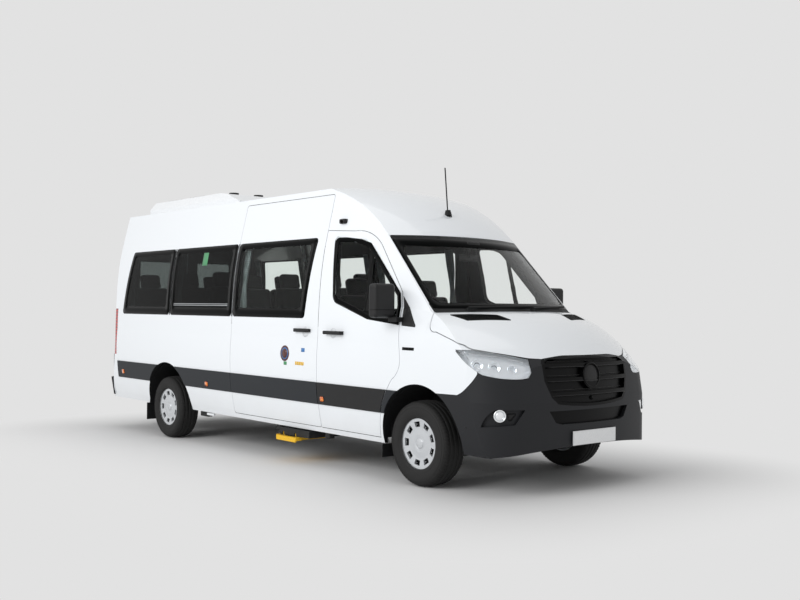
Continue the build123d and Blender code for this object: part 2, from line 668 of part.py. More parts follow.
GRILLE_DEPTH = 32
with BuildPart() as slats:
    for z in GRILLE_SLATS:
        add(upright((950, 0, z - 14), (400, 1200, 28)))
    with BuildSketch(across(700)):
        with Locations((0, GRILLE_BOSS[0])):
            Circle(GRILLE_BOSS[1])
    extrude(amount=500)
with BuildPart() as grille_pockets:
    add(front_prism(GRILLE, 700, 1200, 22))
    add(slats.part, mode=Mode.SUBTRACT)
    add(Location((-GRILLE_DEPTH, 0, 0)) * OUTER, mode=Mode.SUBTRACT)
with BuildPart() as grille:
    add(SKIN)
    add(front_prism(GRILLE, 700, 1200, SEAT_GAP), mode=Mode.INTERSECT)
    add(grille_pockets.part, mode=Mode.SUBTRACT)
    add(HOOD_OPENING, mode=Mode.SUBTRACT)
with BuildPart() as lower_grille:
    add(SKIN)
    add(front_prism(INTAKE, 700, 1200, SEAT_GAP), mode=Mode.INTERSECT)
    add(Location((-GRILLE_DEPTH, 0, 0)) * OUTER, mode=Mode.INTERSECT)
with BuildPart() as grilles:
    add(grille.part)
    add(lower_grille.part)
save(grilles.part, "grille")

# ---------------------------------------------------------------- doors
right_proud = Location((0, -MOULDING, 0)) * OUTER - OUTER
STRIP_DOOR = [(-1400, 560), (-200, 560), (-200, 760), (-1400, 760)]
with BuildPart() as door:
    add(SKIN)
    add(right_prism(FRONT_DOOR, SHUT_GAP), mode=Mode.INTERSECT)
    add(right_prism(DOOR_PANE, 35), mode=Mode.SUBTRACT)
    with BuildPart(mode=Mode.PRIVATE) as seat:
        add(REBATE)
        add(right_prism(DOOR_PANE), mode=Mode.INTERSECT)
    add(seat.part, mode=Mode.SUBTRACT)
save(door.part, "door_right")
save(other_side(door.part), "door_left")

with BuildPart() as door_glass:
    add(PANES)
    add(right_prism(DOOR_PANE, SEAT_GAP), mode=Mode.INTERSECT)
save(door_glass.part, "door_glass_right")
save(other_side(door_glass.part), "door_glass_left")

with BuildPart() as door_trim:
    add(right_proud)
    add(right_prism(FRONT_DOOR, SHUT_GAP + 2), mode=Mode.INTERSECT)
    add(right_prism(STRIP_DOOR), mode=Mode.INTERSECT)
    with BuildPart(mode=Mode.PRIVATE) as housing:
        add(upright(MIRROR_BASE, MIRROR_SIZE))
        fillet(housing.edges(), 30)
        add(upright((-300, -945, MIRROR_BASE[2] - 33), (110, 120, 40)))
        add(OUTER, mode=Mode.SUBTRACT)
    add(housing.part)
    with BuildPart(mode=Mode.PRIVATE) as handle:
        add(upright((-1113, -HANDLE_Y, 1200), (248, 60, 32)))
        fillet(handle.edges().filter_by(Axis.X), 10)
        add(OUTER, mode=Mode.SUBTRACT)
    add(handle.part)
save(door_trim.part, "door_trim_right")
save(other_side(door_trim.part), "door_trim_left")

with BuildPart() as sliding_door:
    add(SKIN)
    add(right_prism(SLIDING_DOOR, SHUT_GAP, 30), mode=Mode.INTERSECT)
    add(window_cuts.part, mode=Mode.SUBTRACT)
    add(window_rebates.part, mode=Mode.SUBTRACT)
save(sliding_door.part, "sliding_door")

LEAF_TOP_Z = REAR_DOOR_TOP_Z - REAR_DOOR_LIFT
REAR_LEAF = [(-REAR_DOOR_HALF, REAR_DOOR_LOW_Z), (0, REAR_DOOR_LOW_Z), (0, LEAF_TOP_Z),
             (-REAR_DOOR_HALF, LEAF_TOP_Z)]
with BuildPart() as rear_door:
    add(SKIN)
    add(front_prism(REAR_LEAF, -6100, REAR_DOOR_INNER_X, SHUT_GAP), mode=Mode.INTERSECT)
    add(front_prism(REAR_PANE, -6100, REAR_DOOR_INNER_X, 35, 20), mode=Mode.SUBTRACT)
    with BuildPart(mode=Mode.PRIVATE) as rear_seat:
        add(REBATE)
        add(front_prism(REAR_PANE, -6100, REAR_DOOR_INNER_X, 0, PANE_CORNER), mode=Mode.INTERSECT)
    add(rear_seat.part, mode=Mode.SUBTRACT)
with BuildPart() as rear_glass:
    add(PANES)
    add(front_prism(REAR_PANE, -6100, REAR_DOOR_INNER_X, SEAT_GAP, PANE_CORNER), mode=Mode.INTERSECT)
for side, mirrored in (("right", False), ("left", True)):
    save(other_side(rear_door.part) if mirrored else rear_door.part, f"rear_door_{side}")
    save(other_side(rear_glass.part) if mirrored else rear_glass.part, f"rear_glass_{side}")

# ---------------------------------------------------------------- rear end
with BuildPart() as tail_lamps:
    add(SKIN)
    with BuildPart(mode=Mode.PRIVATE) as lamp_room:
        add(TAIL_REGION)
        add(other_side(TAIL_REGION))
    add(lamp_room.part, mode=Mode.INTERSECT)
save(tail_lamps.part, "tail_lamps")

with BuildPart() as rear_bumper:
    tuck = REAR_BUMPER_TUCK
    low_plan = plan_outline(-5560, 1003 - tuck, 0, 0, 330, REAR_BUMPER_X + tuck, 215 - tuck)
    high_plan = plan_outline(-5560, 1003, 0, 0, 545, REAR_BUMPER_X, 215)
    loft([low_plan, high_plan], ruled=True)
    riser_plan = plan_outline(-5560, 1014, 0, 0, 330, BODY_END_X - 2, 208)
    with BuildPart(mode=Mode.PRIVATE) as riser:
        add(extrude(riser_plan, amount=505, mode=Mode.PRIVATE))
        add(upright((-5700, 0, 300), (1000, 2200, 200)), mode=Mode.SUBTRACT)
        add(upright((-5700, 0, 545), (1000, 1664, 300)), mode=Mode.SUBTRACT)
    add(riser.part)
    add(OUTER, mode=Mode.SUBTRACT)
    add(upright((REAR_BUMPER_LIP_X + 300, 0, 300), (600, 2200, 600)), mode=Mode.SUBTRACT)
save(rear_bumper.part, "rear_bumper")

with BuildPart() as mouldings:
    add(Location((0, -MOULDING, 0)) * OUTER)
    add(OUTER, mode=Mode.SUBTRACT)
    with BuildPart(mode=Mode.PRIVATE) as right_strips:
        for low_x, high_x in ((-5600, SLIDE_REAR_X + 1), (SLIDE_REAR_X + 6, SLIDE_FRONT_X - 6), (-496, -200)):
            path = [(low_x, 560), (high_x, 560), (high_x, 760), (low_x, 760)]
            add(right_prism(path))
    add(right_strips.part, mode=Mode.INTERSECT)
    for region in (REAR_ARCH_CUT, FRONT_ARCH_CUT, right_prism(FRONT_DOOR, -2)):
        add(region, mode=Mode.SUBTRACT)
with BuildPart() as left_mouldings:
    add(Location((0, MOULDING, 0)) * OUTER)
    add(OUTER, mode=Mode.SUBTRACT)
    with BuildPart(mode=Mode.PRIVATE) as left_strips:
        for low_x, high_x in ((-5600, DOOR_REAR_X - 6), (-496, -200)):
            path = [(low_x, 560), (high_x, 560), (high_x, 760), (low_x, 760)]
            add(other_side(right_prism(path)))
    add(left_strips.part, mode=Mode.INTERSECT)
    for region in (REAR_ARCH_CUT, FRONT_ARCH_CUT, other_side(right_prism(FRONT_DOOR, -2))):
        add(region, mode=Mode.SUBTRACT)
with BuildPart() as side_mouldings:
    add(mouldings.part)
    add(left_mouldings.part)
save(side_mouldings.part, "side_mouldings")

# ---------------------------------------------------------------- floor, frame and drive
def liner(arch, y_in):
    """Thin inner arches round one axle's wheels, closed on their inner side."""
    x, z, radius = arch
    with BuildPart() as shell:
        with BuildSketch(along(WELL_OUT_Y)):
            with Locations((x, z)):
                Circle(radius - 1)
                Rectangle(3 * radius, radius, align=(Align.CENTER, Align.MAX), mode=Mode.SUBTRACT)
        extrude(amount=WELL_OUT_Y - y_in)
        opening = [face for face in shell.faces() if abs(face.normal_at().Y - 1) < 0.01]
        opening += [face for face in shell.faces() if abs(face.normal_at().Z + 1) < 0.01]
        offset(amount=-WELL_WALL, openings=opening)
    return shell.part


with BuildPart() as wheel_liners:
    for arch, y_in in ((FRONT_ARCH, WELL_FRONT_Y), (REAR_ARCH, WELL_REAR_Y)):
        left_liner = liner(arch, y_in)
        add(left_liner)
        add(other_side(left_liner))
    for x, low, high in MUD_FLAPS:
        for side in (1, -1):
            add(upright((x, side * 860, low), (6, 230, SILL_HEIGHT - 2 - low)))
            add(upright((x, side * 810, low), (6, 130, high - low)))
    for x, high, width in AXLE_WINDOWS:
        add(upright((x, 0, 200), (width, 1700, high - 200)), mode=Mode.SUBTRACT)
save(wheel_liners.part, "wheel_liners")

with BuildPart() as well_room:
    for arch, y_in in ((FRONT_ARCH, WELL_FRONT_Y), (REAR_ARCH, WELL_REAR_Y)):
        x, z, radius = arch
        for side in (1, -1):
            with BuildSketch(along(side * (y_in + 300) + 300)):
                with Locations((x, z)):
                    Circle(radius - 1 + SEAT_GAP)
            extrude(amount=600)

with BuildPart() as floor_pan:
    add(upright((FLOOR_MIDDLE_X, 0, FLOOR_TOP_Z - FLOOR_DEPTH), (FLOOR_LENGTH, 2000, FLOOR_DEPTH)))
    firewall_low = FLOOR_TOP_Z - FLOOR_DEPTH
    add(upright((FIREWALL_X, 0, firewall_low), (FLOOR_DEPTH, 2000, 1375 - firewall_low)))
    add(INNER, mode=Mode.INTERSECT)
    add(upright((STEP_X, -(WELL_STEP_Y + 350), 0), (STEP_LENGTH, 700, 2000)), mode=Mode.SUBTRACT)
    add(well_room.part, mode=Mode.SUBTRACT)
    with BuildPart(mode=Mode.PRIVATE) as step_box:
        box_low = STEP_FLOOR_Z - 4
        add(upright((STEP_X, -(WELL_STEP_Y + 350), box_low), (STEP_LENGTH, 700, FLOOR_TOP_Z - box_low)))
        hollow = (STEP_LENGTH - 8, 700, FLOOR_TOP_Z)
        add(upright((STEP_X, -(WELL_STEP_Y + 354), STEP_FLOOR_Z), hollow), mode=Mode.SUBTRACT)
        add(INNER, mode=Mode.INTERSECT)
    add(step_box.part)
    for rear_x, front_x, low, high, _ in INNER_POSTS:
        if low < FLOOR_TOP_Z < high:
            for side in (1, -1):
                notch = (front_x - rear_x + 2 * SEAT_GAP, 200, 100)
                notch_y = side * (wall_face(FLOOR_TOP_Z - FLOOR_DEPTH) - POST_DEPTH - SEAT_GAP + 100)
                add(upright(((rear_x + front_x) / 2, notch_y, FLOOR_TOP_Z - 70), notch), mode=Mode.SUBTRACT)
    for side in (1, -1):
        door_run = (DOOR_REAR_X + 20, FRONT_DOOR[1][0] + 160)
        notch = (door_run[1] - door_run[0], 200, 100)
        notch_y = side * (wall_face(FLOOR_TOP_Z - FLOOR_DEPTH) - POST_GAP + 100)
        add(upright((sum(door_run) / 2, notch_y, FLOOR_TOP_Z - 70), notch), mode=Mode.SUBTRACT)
    add(wheel_liners.part, mode=Mode.SUBTRACT)
save(floor_pan.part, "floor_pan")

RAIL_TOP_Z = FLOOR_TOP_Z - FLOOR_DEPTH
with BuildPart() as chassis_rails:
    for side in (1, -1):
        add(upright(((RAIL_FRONT_X + RAIL_REAR_X) / 2, side * RAIL_Y, RAIL_TOP_Z - RAIL_DEPTH),
                    (RAIL_FRONT_X - RAIL_REAR_X, RAIL_WIDTH, RAIL_DEPTH)))
    for x in CROSS_MEMBER_X:
        add(upright((x, 0, RAIL_TOP_Z - 90), (80, 2 * RAIL_Y, 80)))
    for x in (RAIL_FRONT_X - 25, RAIL_REAR_X + 25):
        add(upright((x, 0, RAIL_TOP_Z - 110), (50, 2 * RAIL_Y, 100)))
save(chassis_rails.part, "chassis_rails")

with BuildPart() as drive_units:
    add(upright((POWER_UNIT[0], 0, POWER_UNIT[1]), (POWER_UNIT[2], BAY_WIDTH, POWER_UNIT[3])))
    add(upright((BATTERY[0], 0, BATTERY[1]), (BATTERY[2], BAY_WIDTH, BATTERY[3])))
    add(chassis_rails.part, mode=Mode.SUBTRACT)
save(drive_units.part, "drive_units")

# ---------------------------------------------------------------- roof equipment
with BuildPart() as roof_aircon:
    add(extrude(closed_sketch(along(AIRCON_HALF), AIRCON_SIDE), amount=2 * AIRCON_HALF, mode=Mode.PRIVATE))
    add(front_prism(AIRCON_FRONT, -5700, -3000), mode=Mode.INTERSECT)
    add(OUTER, mode=Mode.SUBTRACT)
save(roof_aircon.part, "roof_aircon")

with BuildPart() as roof_fittings:
    for y in (-330, 0):
        with BuildSketch(Plane.XY.offset(2700)):
            with Locations((-4000, y)):
                Circle(55)
        extrude(amount=50)
    add(roof_aircon.part, mode=Mode.SUBTRACT)
    mast = Plane(origin=(-713, 0, MAST_FOOT_Z), z_dir=(-0.1, 0, 1))
    with BuildSketch(mast):
        Circle(24)
    extrude(amount=70)
    with BuildSketch(mast):
        Circle(6)
    extrude(amount=490)
    add(OUTER, mode=Mode.SUBTRACT)
save(roof_fittings.part, "roof_fittings")

# ---------------------------------------------------------------- entry step
with BuildPart() as step_housing:
    add(upright((STEP_HOUSING[0], -780, 223), (STEP_HOUSING[1], 360, 62)))
    for x in STEP_RUNNER_X:
        add(upright((x, -780, 220), (26, 400, 30)), mode=Mode.SUBTRACT)
    for x in STEP_RUNNER_X:
        add(upright((x, -640, 285), (40, 60, STEP_FLOOR_Z - 4 - 285)))
save(step_housing.part, "step_housing")
with BuildPart() as step_tread:
    add(upright((STEP_TREAD[0], -790, 190), (STEP_TREAD[1], 420, 25)))
    add(upright((STEP_TREAD[0], -993, 172), (STEP_TREAD[1], 14, 43)))
    for x in STEP_RUNNER_X:
        add(upright((x, -780, 215), (25, 340, 34)))
save(step_tread.part, "step_tread")

# ---------------------------------------------------------------- cabin
with BuildPart() as dashboard:
    add(extrude(closed_sketch(along(800), DASH_SIDE), amount=1600, mode=Mode.PRIVATE))
    add(INNER, mode=Mode.INTERSECT)
    with BuildSketch(COLUMN_PLANE):
        Circle(28)
    extrude(amount=-240)
    with BuildSketch(COLUMN_PLANE):
        Circle(COLUMN_R)
    extrude(amount=34)
save(dashboard.part, "dashboard")

with BuildPart() as steering_wheel:
    with BuildPart(mode=Mode.PRIVATE) as rim_ring:
        with BuildSketch(Plane.XZ):
            with Locations((185, 20)):
                Circle(15)
        revolve(axis=Axis.Z)
    add(rim_ring.part)
    with BuildSketch(Plane.XY.offset(4)):
        Circle(52)
        for angle in (0, 180, 270):
            with Locations(Rotation(0, 0, angle)):
                with Locations((92, 0)):
                    Rectangle(184, 30)
        Circle(COLUMN_R + RUN_GAP, mode=Mode.SUBTRACT)
    extrude(amount=26)
save(COLUMN_PLANE.location * steering_wheel.part, "steering_wheel")


def seat_solid(x, y, base_z, cushion_z, width):
    """One seat facing forward: x is the front edge of its cushion."""
    with BuildPart() as seat:
        add(upright((x - 260, y, base_z), (360, width - 120, cushion_z - 110 - base_z)))
        add(upright((x - 250, y, cushion_z - 110), (500, width, 110)))
        lean = Location((x - 500, y, cushion_z - 60), (0, -14, 0))
        back = lean * Box(110, width, 640, align=(Align.CENTER, Align.CENTER, Align.MIN), mode=Mode.PRIVATE)
        add(back)
        add(lean * upright((0, 0, 635), (70, 240, 180)))
    return seat.part


with BuildPart() as front_seats:
    for y in (-440, 440):
        add(seat_solid(-830, y, FLOOR_TOP_Z, 985, 480))
save(front_seats.part, "front_seats")

with BuildPart() as passenger_seats:
    for row, x in enumerate(SEAT_ROWS):
        places = (210, 665) if row == 0 else (-665, 210, 665)
        for y in places:
            add(seat_solid(x, y, FLOOR_TOP_Z, 1085, 430))
    add(well_room.part, mode=Mode.SUBTRACT)
    add(wheel_liners.part, mode=Mode.SUBTRACT)
save(passenger_seats.part, "passenger_seats")

with BuildPart() as curtains:
    for x, width in CURTAINS:
        for side in (1, -1):
            hung = [(side * (wall_face(z) - SEAT_GAP), z) for z in CURTAIN_HEIGHTS]
            inner = [(y - side * CURTAIN_THICK, z) for y, z in reversed(hung)]
            add(front_prism(hung + inner, x - width / 2, x + width / 2))
save(curtains.part, "curtains")

with BuildPart() as wipers:
    for foot_y, tip_y in WIPERS:
        foot = (SCREEN_FOOT_X - foot_y**2 / (2 * SCREEN_PLAN_RADIUS) + 14, foot_y, SCREEN_FOOT_Z + 22)
        tip = (SCREEN_FOOT_X - tip_y**2 / (2 * SCREEN_PLAN_RADIUS) + 2, tip_y, SCREEN_FOOT_Z + 34)
        run = Vector(*tip) - Vector(*foot)
        with BuildSketch(Plane(origin=foot, z_dir=run)):
            Circle(9)
        extrude(amount=run.length)
        with BuildSketch(Plane(origin=(foot[0] - 8, foot_y, SCREEN_FOOT_Z - 30), z_dir=(0, 0, 1))):
            Circle(14)
        extrude(amount=50)
    add(OUTER, mode=Mode.SUBTRACT)
save(wipers.part, "wipers")

# ---------------------------------------------------------------- running gear, on level ground
LEVEL = Location((FRONT_AXLE_X, 0, 0))
AXLE_Z = FRONT_WHEEL_Z
with BuildPart() as axles:
    for side in (1, -1):
        for z in (KNUCKLE_LOW_Z - 24, KNUCKLE_HIGH_Z + 1):
            add(upright((0, side * (TOWER_IN_Y + 820) / 2, z), (50, 820 - TOWER_IN_Y, 23)))
        tower = (60, 60, RAIL_TOP_Z - KNUCKLE_LOW_Z)
        add(upright((0, side * (TOWER_IN_Y + 30), KNUCKLE_LOW_Z - 24), tower))
        with BuildSketch(Plane.XY.offset(KNUCKLE_LOW_Z - 2)):
            with Locations((0, side * KINGPIN_Y)):
                Circle(KINGPIN_R)
        extrude(amount=KNUCKLE_HIGH_Z - KNUCKLE_LOW_Z + 4)
    add(upright((0, 0, KNUCKLE_LOW_Z - 24), (60, 2 * TOWER_IN_Y + 20, 50)))
    with BuildSketch(along(TRACK_REAR / 2 - 120)):
        with Locations((-WHEELBASE, AXLE_Z)):
            Circle(45)
    extrude(amount=TRACK_REAR - 240)
    with BuildSketch(along(TRACK_REAR / 2 + 60)):
        with Locations((-WHEELBASE, AXLE_Z)):
            Circle(SPINDLE_R)
    extrude(amount=TRACK_REAR + 120)
    for side in (1, -1):
        add(upright((-WHEELBASE, side * SPRING_Y, AXLE_Z + 40), (1300, 70, 30)))
        for end in (-620, 620):
            hanger_y = (TOWER_IN_Y + SPRING_Y + 20) / 2
            hanger = (50, SPRING_Y + 20 - TOWER_IN_Y, RAIL_TOP_Z - AXLE_Z - 60)
            add(upright((-WHEELBASE + end, side * hanger_y, AXLE_Z + 65), hanger))
        add(upright((-WHEELBASE, side * SPRING_Y, AXLE_Z - 50), (120, 80, 92)))
save(axles.part, "axles", LEVEL)

with BuildPart() as knuckle:
    add(upright((0, KINGPIN_Y, KNUCKLE_LOW_Z), (70, 64, KNUCKLE_HIGH_Z - KNUCKLE_LOW_Z)))
    with BuildSketch(Plane.XY.offset(KNUCKLE_LOW_Z - 5)):
        with Locations((0, KINGPIN_Y)):
            Circle(KINGPIN_R + RUN_GAP)
    extrude(amount=500, mode=Mode.SUBTRACT)
    with BuildSketch(along(TRACK_FRONT / 2 + 60)):
        with Locations((0, AXLE_Z)):
            Circle(SPINDLE_R)
    extrude(amount=TRACK_FRONT / 2 + 60 - KINGPIN_Y - 30)
save(knuckle.part, "knuckle_left", LEVEL)
save(other_side(knuckle.part), "knuckle_right", LEVEL)

# wheel drawn about the Y axis, its outer face towards +Y
TYRE_R = TYRE_DIA / 2
HALF_TREAD = TYRE_WIDTH / 2
with BuildPart() as tyre:
    with BuildSketch(Plane.YZ):
        with BuildLine():
            for side in (1, -1):
                Polyline((side * 82, BEAD_R), (side * 83.5, BEAD_R + 18), (side * 100, BEAD_R + 28))
                ThreePointArc((side * 100, BEAD_R + 28), (side * HALF_TREAD, TYRE_R - 70), (side * 100, TYRE_R - 12))
                Line((side * 100, TYRE_R - 12), (side * 82, TYRE_R - 2))
                Line((side * 82, TYRE_R - 2), (side * 40, TYRE_R))
            Line((40, TYRE_R), (-40, TYRE_R))
            Line((82, BEAD_R), (-82, BEAD_R))
        make_face()
    revolve(axis=Axis.Y)
with BuildPart() as rim:
    with BuildSketch(Plane.YZ):
        with BuildLine():
            Polyline(*RIM_SECTION, close=True)
        make_face()
    revolve(axis=Axis.Y)
    inner, outer, spread = VENT
    vent = [(inner, -0.8 * spread), (outer, -spread), (outer, spread), (inner, 0.8 * spread)]
    with BuildSketch(Plane.XZ.offset(-120)):
        with PolarLocations(0, VENT_COUNT):
            add(closed_sketch(Plane.XY, vent, 0, 5))
    extrude(amount=110, mode=Mode.SUBTRACT)
for node, x, track, side in (
    ("front_left", 0, TRACK_FRONT, 1), ("front_right", 0, TRACK_FRONT, -1),
    ("rear_left", -WHEELBASE, TRACK_REAR, 1), ("rear_right", -WHEELBASE, TRACK_REAR, -1),
):
    place = Location((FRONT_AXLE_X + x, side * track / 2, AXLE_Z), (0, 0, 0 if side > 0 else 180))
    save(tyre.part, f"tyre_{node}", place)
    save(rim.part, f"rim_{node}", place)
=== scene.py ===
# Looks for the minibus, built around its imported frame. Lengths in the dictionaries are in millimetres.
import bmesh
import bpy
import json
import math
import random
from mathutils import Matrix, Vector
from mathutils.bvhtree import BVHTree


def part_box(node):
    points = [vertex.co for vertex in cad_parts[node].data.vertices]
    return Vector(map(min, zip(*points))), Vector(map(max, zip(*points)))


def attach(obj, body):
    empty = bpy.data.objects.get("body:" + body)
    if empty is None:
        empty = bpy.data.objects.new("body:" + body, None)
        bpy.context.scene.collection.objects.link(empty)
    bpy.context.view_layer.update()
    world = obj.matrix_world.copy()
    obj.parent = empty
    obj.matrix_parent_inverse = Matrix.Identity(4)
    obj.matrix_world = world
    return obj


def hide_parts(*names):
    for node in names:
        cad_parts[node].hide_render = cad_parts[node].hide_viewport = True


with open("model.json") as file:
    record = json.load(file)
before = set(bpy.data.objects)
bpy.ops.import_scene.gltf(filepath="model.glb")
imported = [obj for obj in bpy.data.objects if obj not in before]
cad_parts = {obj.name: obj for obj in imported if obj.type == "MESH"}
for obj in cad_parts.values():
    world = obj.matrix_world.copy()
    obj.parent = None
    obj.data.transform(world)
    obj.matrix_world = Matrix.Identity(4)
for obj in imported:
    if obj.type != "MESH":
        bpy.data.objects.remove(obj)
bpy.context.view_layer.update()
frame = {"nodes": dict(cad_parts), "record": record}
nodes = frame["nodes"]
scene = bpy.context.scene
random.seed(7)

# The body sits nose down on its axles, so its own level frame is turned into the row's frame.
stance = {"rake": 0.78, "frontAxleX": 2464.5, "wheelbase": 4325, "axleHeight": 348}
bodyToRow = Matrix.Translation((stance["frontAxleX"] / 1000, 0, 0)) @ Matrix.Rotation(
    math.radians(stance["rake"]), 4, "Y")


def at(x, y, z):
    return bodyToRow @ (Vector((x, y, z)) / 1000)


def along(x, y, z):
    return (bodyToRow.to_3x3() @ Vector((x, y, z))).normalized()


# camera and light come first
view = {"place": (8.5345, -6.273, 1.373), "yaw": 139.88, "pitch": 0.97, "lens": 44.81}
cameraData = bpy.data.cameras.new("camera")
cameraData.lens = view["lens"]
cameraData.sensor_width = 36
cameraData.clip_end = 200
camera = bpy.data.objects.new("camera", cameraData)
camera.location = view["place"]
yaw, pitch = math.radians(view["yaw"]), math.radians(view["pitch"])
looking = Vector((math.cos(yaw) * math.cos(pitch), math.sin(yaw) * math.cos(pitch), math.sin(pitch)))
camera.rotation_euler = looking.to_track_quat("-Z", "Y").to_euler()
scene.collection.objects.link(camera)
scene.camera = camera
scene.view_settings.view_transform = "Standard"


def linearColour(hexText):
    parts = [int(hexText[i:i + 2], 16) / 255 for i in (1, 3, 5)]
    return tuple(c / 12.92 if c <= 0.04045 else ((c + 0.055) / 1.055) ** 2.4 for c in parts) + (1.0,)


def addNode(tree, kind, links=None, **settings):
    # settings are properties or inputs (in1 is the second input), links are wires; properties come first,
    # because some of them change which inputs a node has
    node = tree.nodes.new(kind)
    for key, value in settings.items():
        if key in node.bl_rna.properties:
            setattr(node, key, value)
    for key, value in settings.items():
        if key not in node.bl_rna.properties:
            socket = int(key[2:]) if key[:2] == "in" and key[2:].isdigit() else key.replace("_", " ")
            node.inputs[socket].default_value = value
    for key, source in (links or {}).items():
        tree.links.new(source, node.inputs[key])
    return node


def startMaterial(name, hexText, roughness, metallic=0.0, ior=1.5):
    material = bpy.data.materials.new(name)
    material.use_nodes = True
    tree = material.node_tree
    shader = tree.nodes["Principled BSDF"]
    shader.inputs["Base Color"].default_value = linearColour(hexText)
    shader.inputs["Roughness"].default_value = roughness
    shader.inputs["Metallic"].default_value = metallic
    shader.inputs["IOR"].default_value = ior
    return material, tree, shader


def addGrain(tree, shader, grain, height, detail=3.0, colours=None, spread=(0.35, 0.65), roughs=None):
    # noise at a real size in millimetres drives bump, and where asked colour and roughness
    place = addNode(tree, "ShaderNodeTexCoord")
    noise = addNode(tree, "ShaderNodeTexNoise", {"Vector": place.outputs["Object"]},
                    Scale=1000 / grain, Detail=detail, Roughness=0.6)
    bump = addNode(tree, "ShaderNodeBump", {"Height": noise.outputs["Fac"]},
                   Strength=0.6, Distance=height / 1000)
    tree.links.new(bump.outputs["Normal"], shader.inputs["Normal"])
    if colours:
        ramp = addNode(tree, "ShaderNodeValToRGB", {"Fac": noise.outputs["Fac"]})
        for stop, position, hexText in zip(ramp.color_ramp.elements, spread, colours):
            stop.position, stop.color = position, linearColour(hexText)
        tree.links.new(ramp.outputs["Color"], shader.inputs["Base Color"])
    if roughs:
        rough = addNode(tree, "ShaderNodeMapRange", {"Value": noise.outputs["Fac"]})
        rough.inputs["To Min"].default_value, rough.inputs["To Max"].default_value = roughs
        tree.links.new(rough.outputs["Result"], shader.inputs["Roughness"])
    return place


# the cabin's middle line in metres; a face turned towards it is lining, drawn near black, partly as painted
# shade of the closed cabin
cabinSpine = {"rear": -2.3, "front": 2.9, "height": 0.9, "turn": -0.12}


def liningShadeMask(tree):
    # 1 on faces that look in towards the cabin's middle line, 0 on faces that look out
    geometry = addNode(tree, "ShaderNodeNewGeometry")
    split = addNode(tree, "ShaderNodeSeparateXYZ", {"Vector": geometry.outputs["Position"]})
    spine = addNode(tree, "ShaderNodeClamp", {"Value": split.outputs["X"]},
                    Min=cabinSpine["rear"], Max=cabinSpine["front"])
    core = addNode(tree, "ShaderNodeCombineXYZ", {"X": spine.outputs["Result"]}, Z=cabinSpine["height"])
    away = addNode(tree, "ShaderNodeVectorMath",
                   {0: geometry.outputs["Position"], 1: core.outputs["Vector"]}, operation="SUBTRACT")
    unit = addNode(tree, "ShaderNodeVectorMath", {0: away.outputs["Vector"]}, operation="NORMALIZE")
    facing = addNode(tree, "ShaderNodeVectorMath",
                     {0: unit.outputs["Vector"], 1: geometry.outputs["True Normal"]}, operation="DOT_PRODUCT")
    return addNode(tree, "ShaderNodeMath", {0: facing.outputs["Value"]}, operation="LESS_THAN",
                   in1=cabinSpine["turn"])


# dust from the road, thinning out with height in metres
roadFilm = {"low": 0.25, "top": 0.75, "most": 0.3, "hex": "#b9b5ae"}


def enamelledSteel(name, hexText, liningShadeHex):
    # painted steel under clear lacquer: clean gloss with faint orange peel, road film low down, and on the
    # cabin side moulded lining, drawn near black, partly as painted shade of the closed cabin
    material, tree, shader = startMaterial(name, hexText, 0.32)
    shader.inputs["Coat Weight"].default_value = 0.9
    shader.inputs["Coat Roughness"].default_value = 0.04
    place = addGrain(tree, shader, 9, 0.04, 2.0)
    geometry = addNode(tree, "ShaderNodeNewGeometry")
    split = addNode(tree, "ShaderNodeSeparateXYZ", {"Vector": geometry.outputs["Position"]})
    film = addNode(tree, "ShaderNodeMapRange", {"Value": split.outputs["Z"]})
    film.inputs["From Min"].default_value = roadFilm["low"]
    film.inputs["From Max"].default_value = roadFilm["top"]
    film.inputs["To Min"].default_value, film.inputs["To Max"].default_value = roadFilm["most"], 0.0
    cloud = addNode(tree, "ShaderNodeTexNoise", {"Vector": place.outputs["Object"]}, Scale=3.0, Detail=5.0)
    amount = addNode(tree, "ShaderNodeMath", {0: film.outputs["Result"], 1: cloud.outputs["Fac"]},
                     operation="MULTIPLY")
    dusty = addNode(tree, "ShaderNodeMixRGB", {"Fac": amount.outputs["Value"]},
                    Color1=linearColour(hexText), Color2=linearColour(roadFilm["hex"]))
    liningShadeMix = addNode(tree, "ShaderNodeMixRGB", {"Fac": liningShadeMask(tree).outputs["Value"],
                                               "Color1": dusty.outputs["Color"]},
                    Color2=linearColour(liningShadeHex))
    tree.links.new(liningShadeMix.outputs["Color"], shader.inputs["Base Color"])
    return material


def gelcoat(name, hexText):
    # glass-fibre cover with a sprayed gelcoat: soft gloss, slightly uneven
    material, tree, shader = startMaterial(name, hexText, 0.38)
    shader.inputs["Coat Weight"].default_value = 0.4
    shader.inputs["Coat Roughness"].default_value = 0.12
    addGrain(tree, shader, 25, 0.15, 3.0, (hexText, "#e4e7ea"), (0.3, 0.8))
    return material


def mouldedPolypropylene(name, hexText, paleHex, roughness=0.52, grain=2.2, height=0.12):
    # unpainted bumper plastic, moulded with a fine leather-like grain that is drawn a little coarse to show
    material, tree, shader = startMaterial(name, hexText, roughness)
    shader.inputs["Specular IOR Level"].default_value = 0.28
    addGrain(tree, shader, grain, height, 4.0, (hexText, paleHex), (0.3, 0.75),
             (roughness - 0.06, roughness + 0.1))
    return material


def glossAbs(name, hexText, roughness=0.16, coat=0.5, shine=0.5):
    # ABS moulded in a polished tool: deep gloss with a few faint ripples
    material, tree, shader = startMaterial(name, hexText, roughness)
    shader.inputs["Coat Weight"].default_value = coat
    shader.inputs["Specular IOR Level"].default_value = shine
    addGrain(tree, shader, 30, 0.05, 1.0, roughs=(roughness, roughness + 0.07))
    return material


def safetyGlass(name, hexText):
    # toughened float glass with a slight green body tint; its mirror shine is kept low
    material, tree, shader = startMaterial(name, hexText, 0.0, 0.0, 1.14)
    shader.inputs["Transmission Weight"].default_value = 1.0
    addGrain(tree, shader, 400, 0.02, 1.0)
    return material


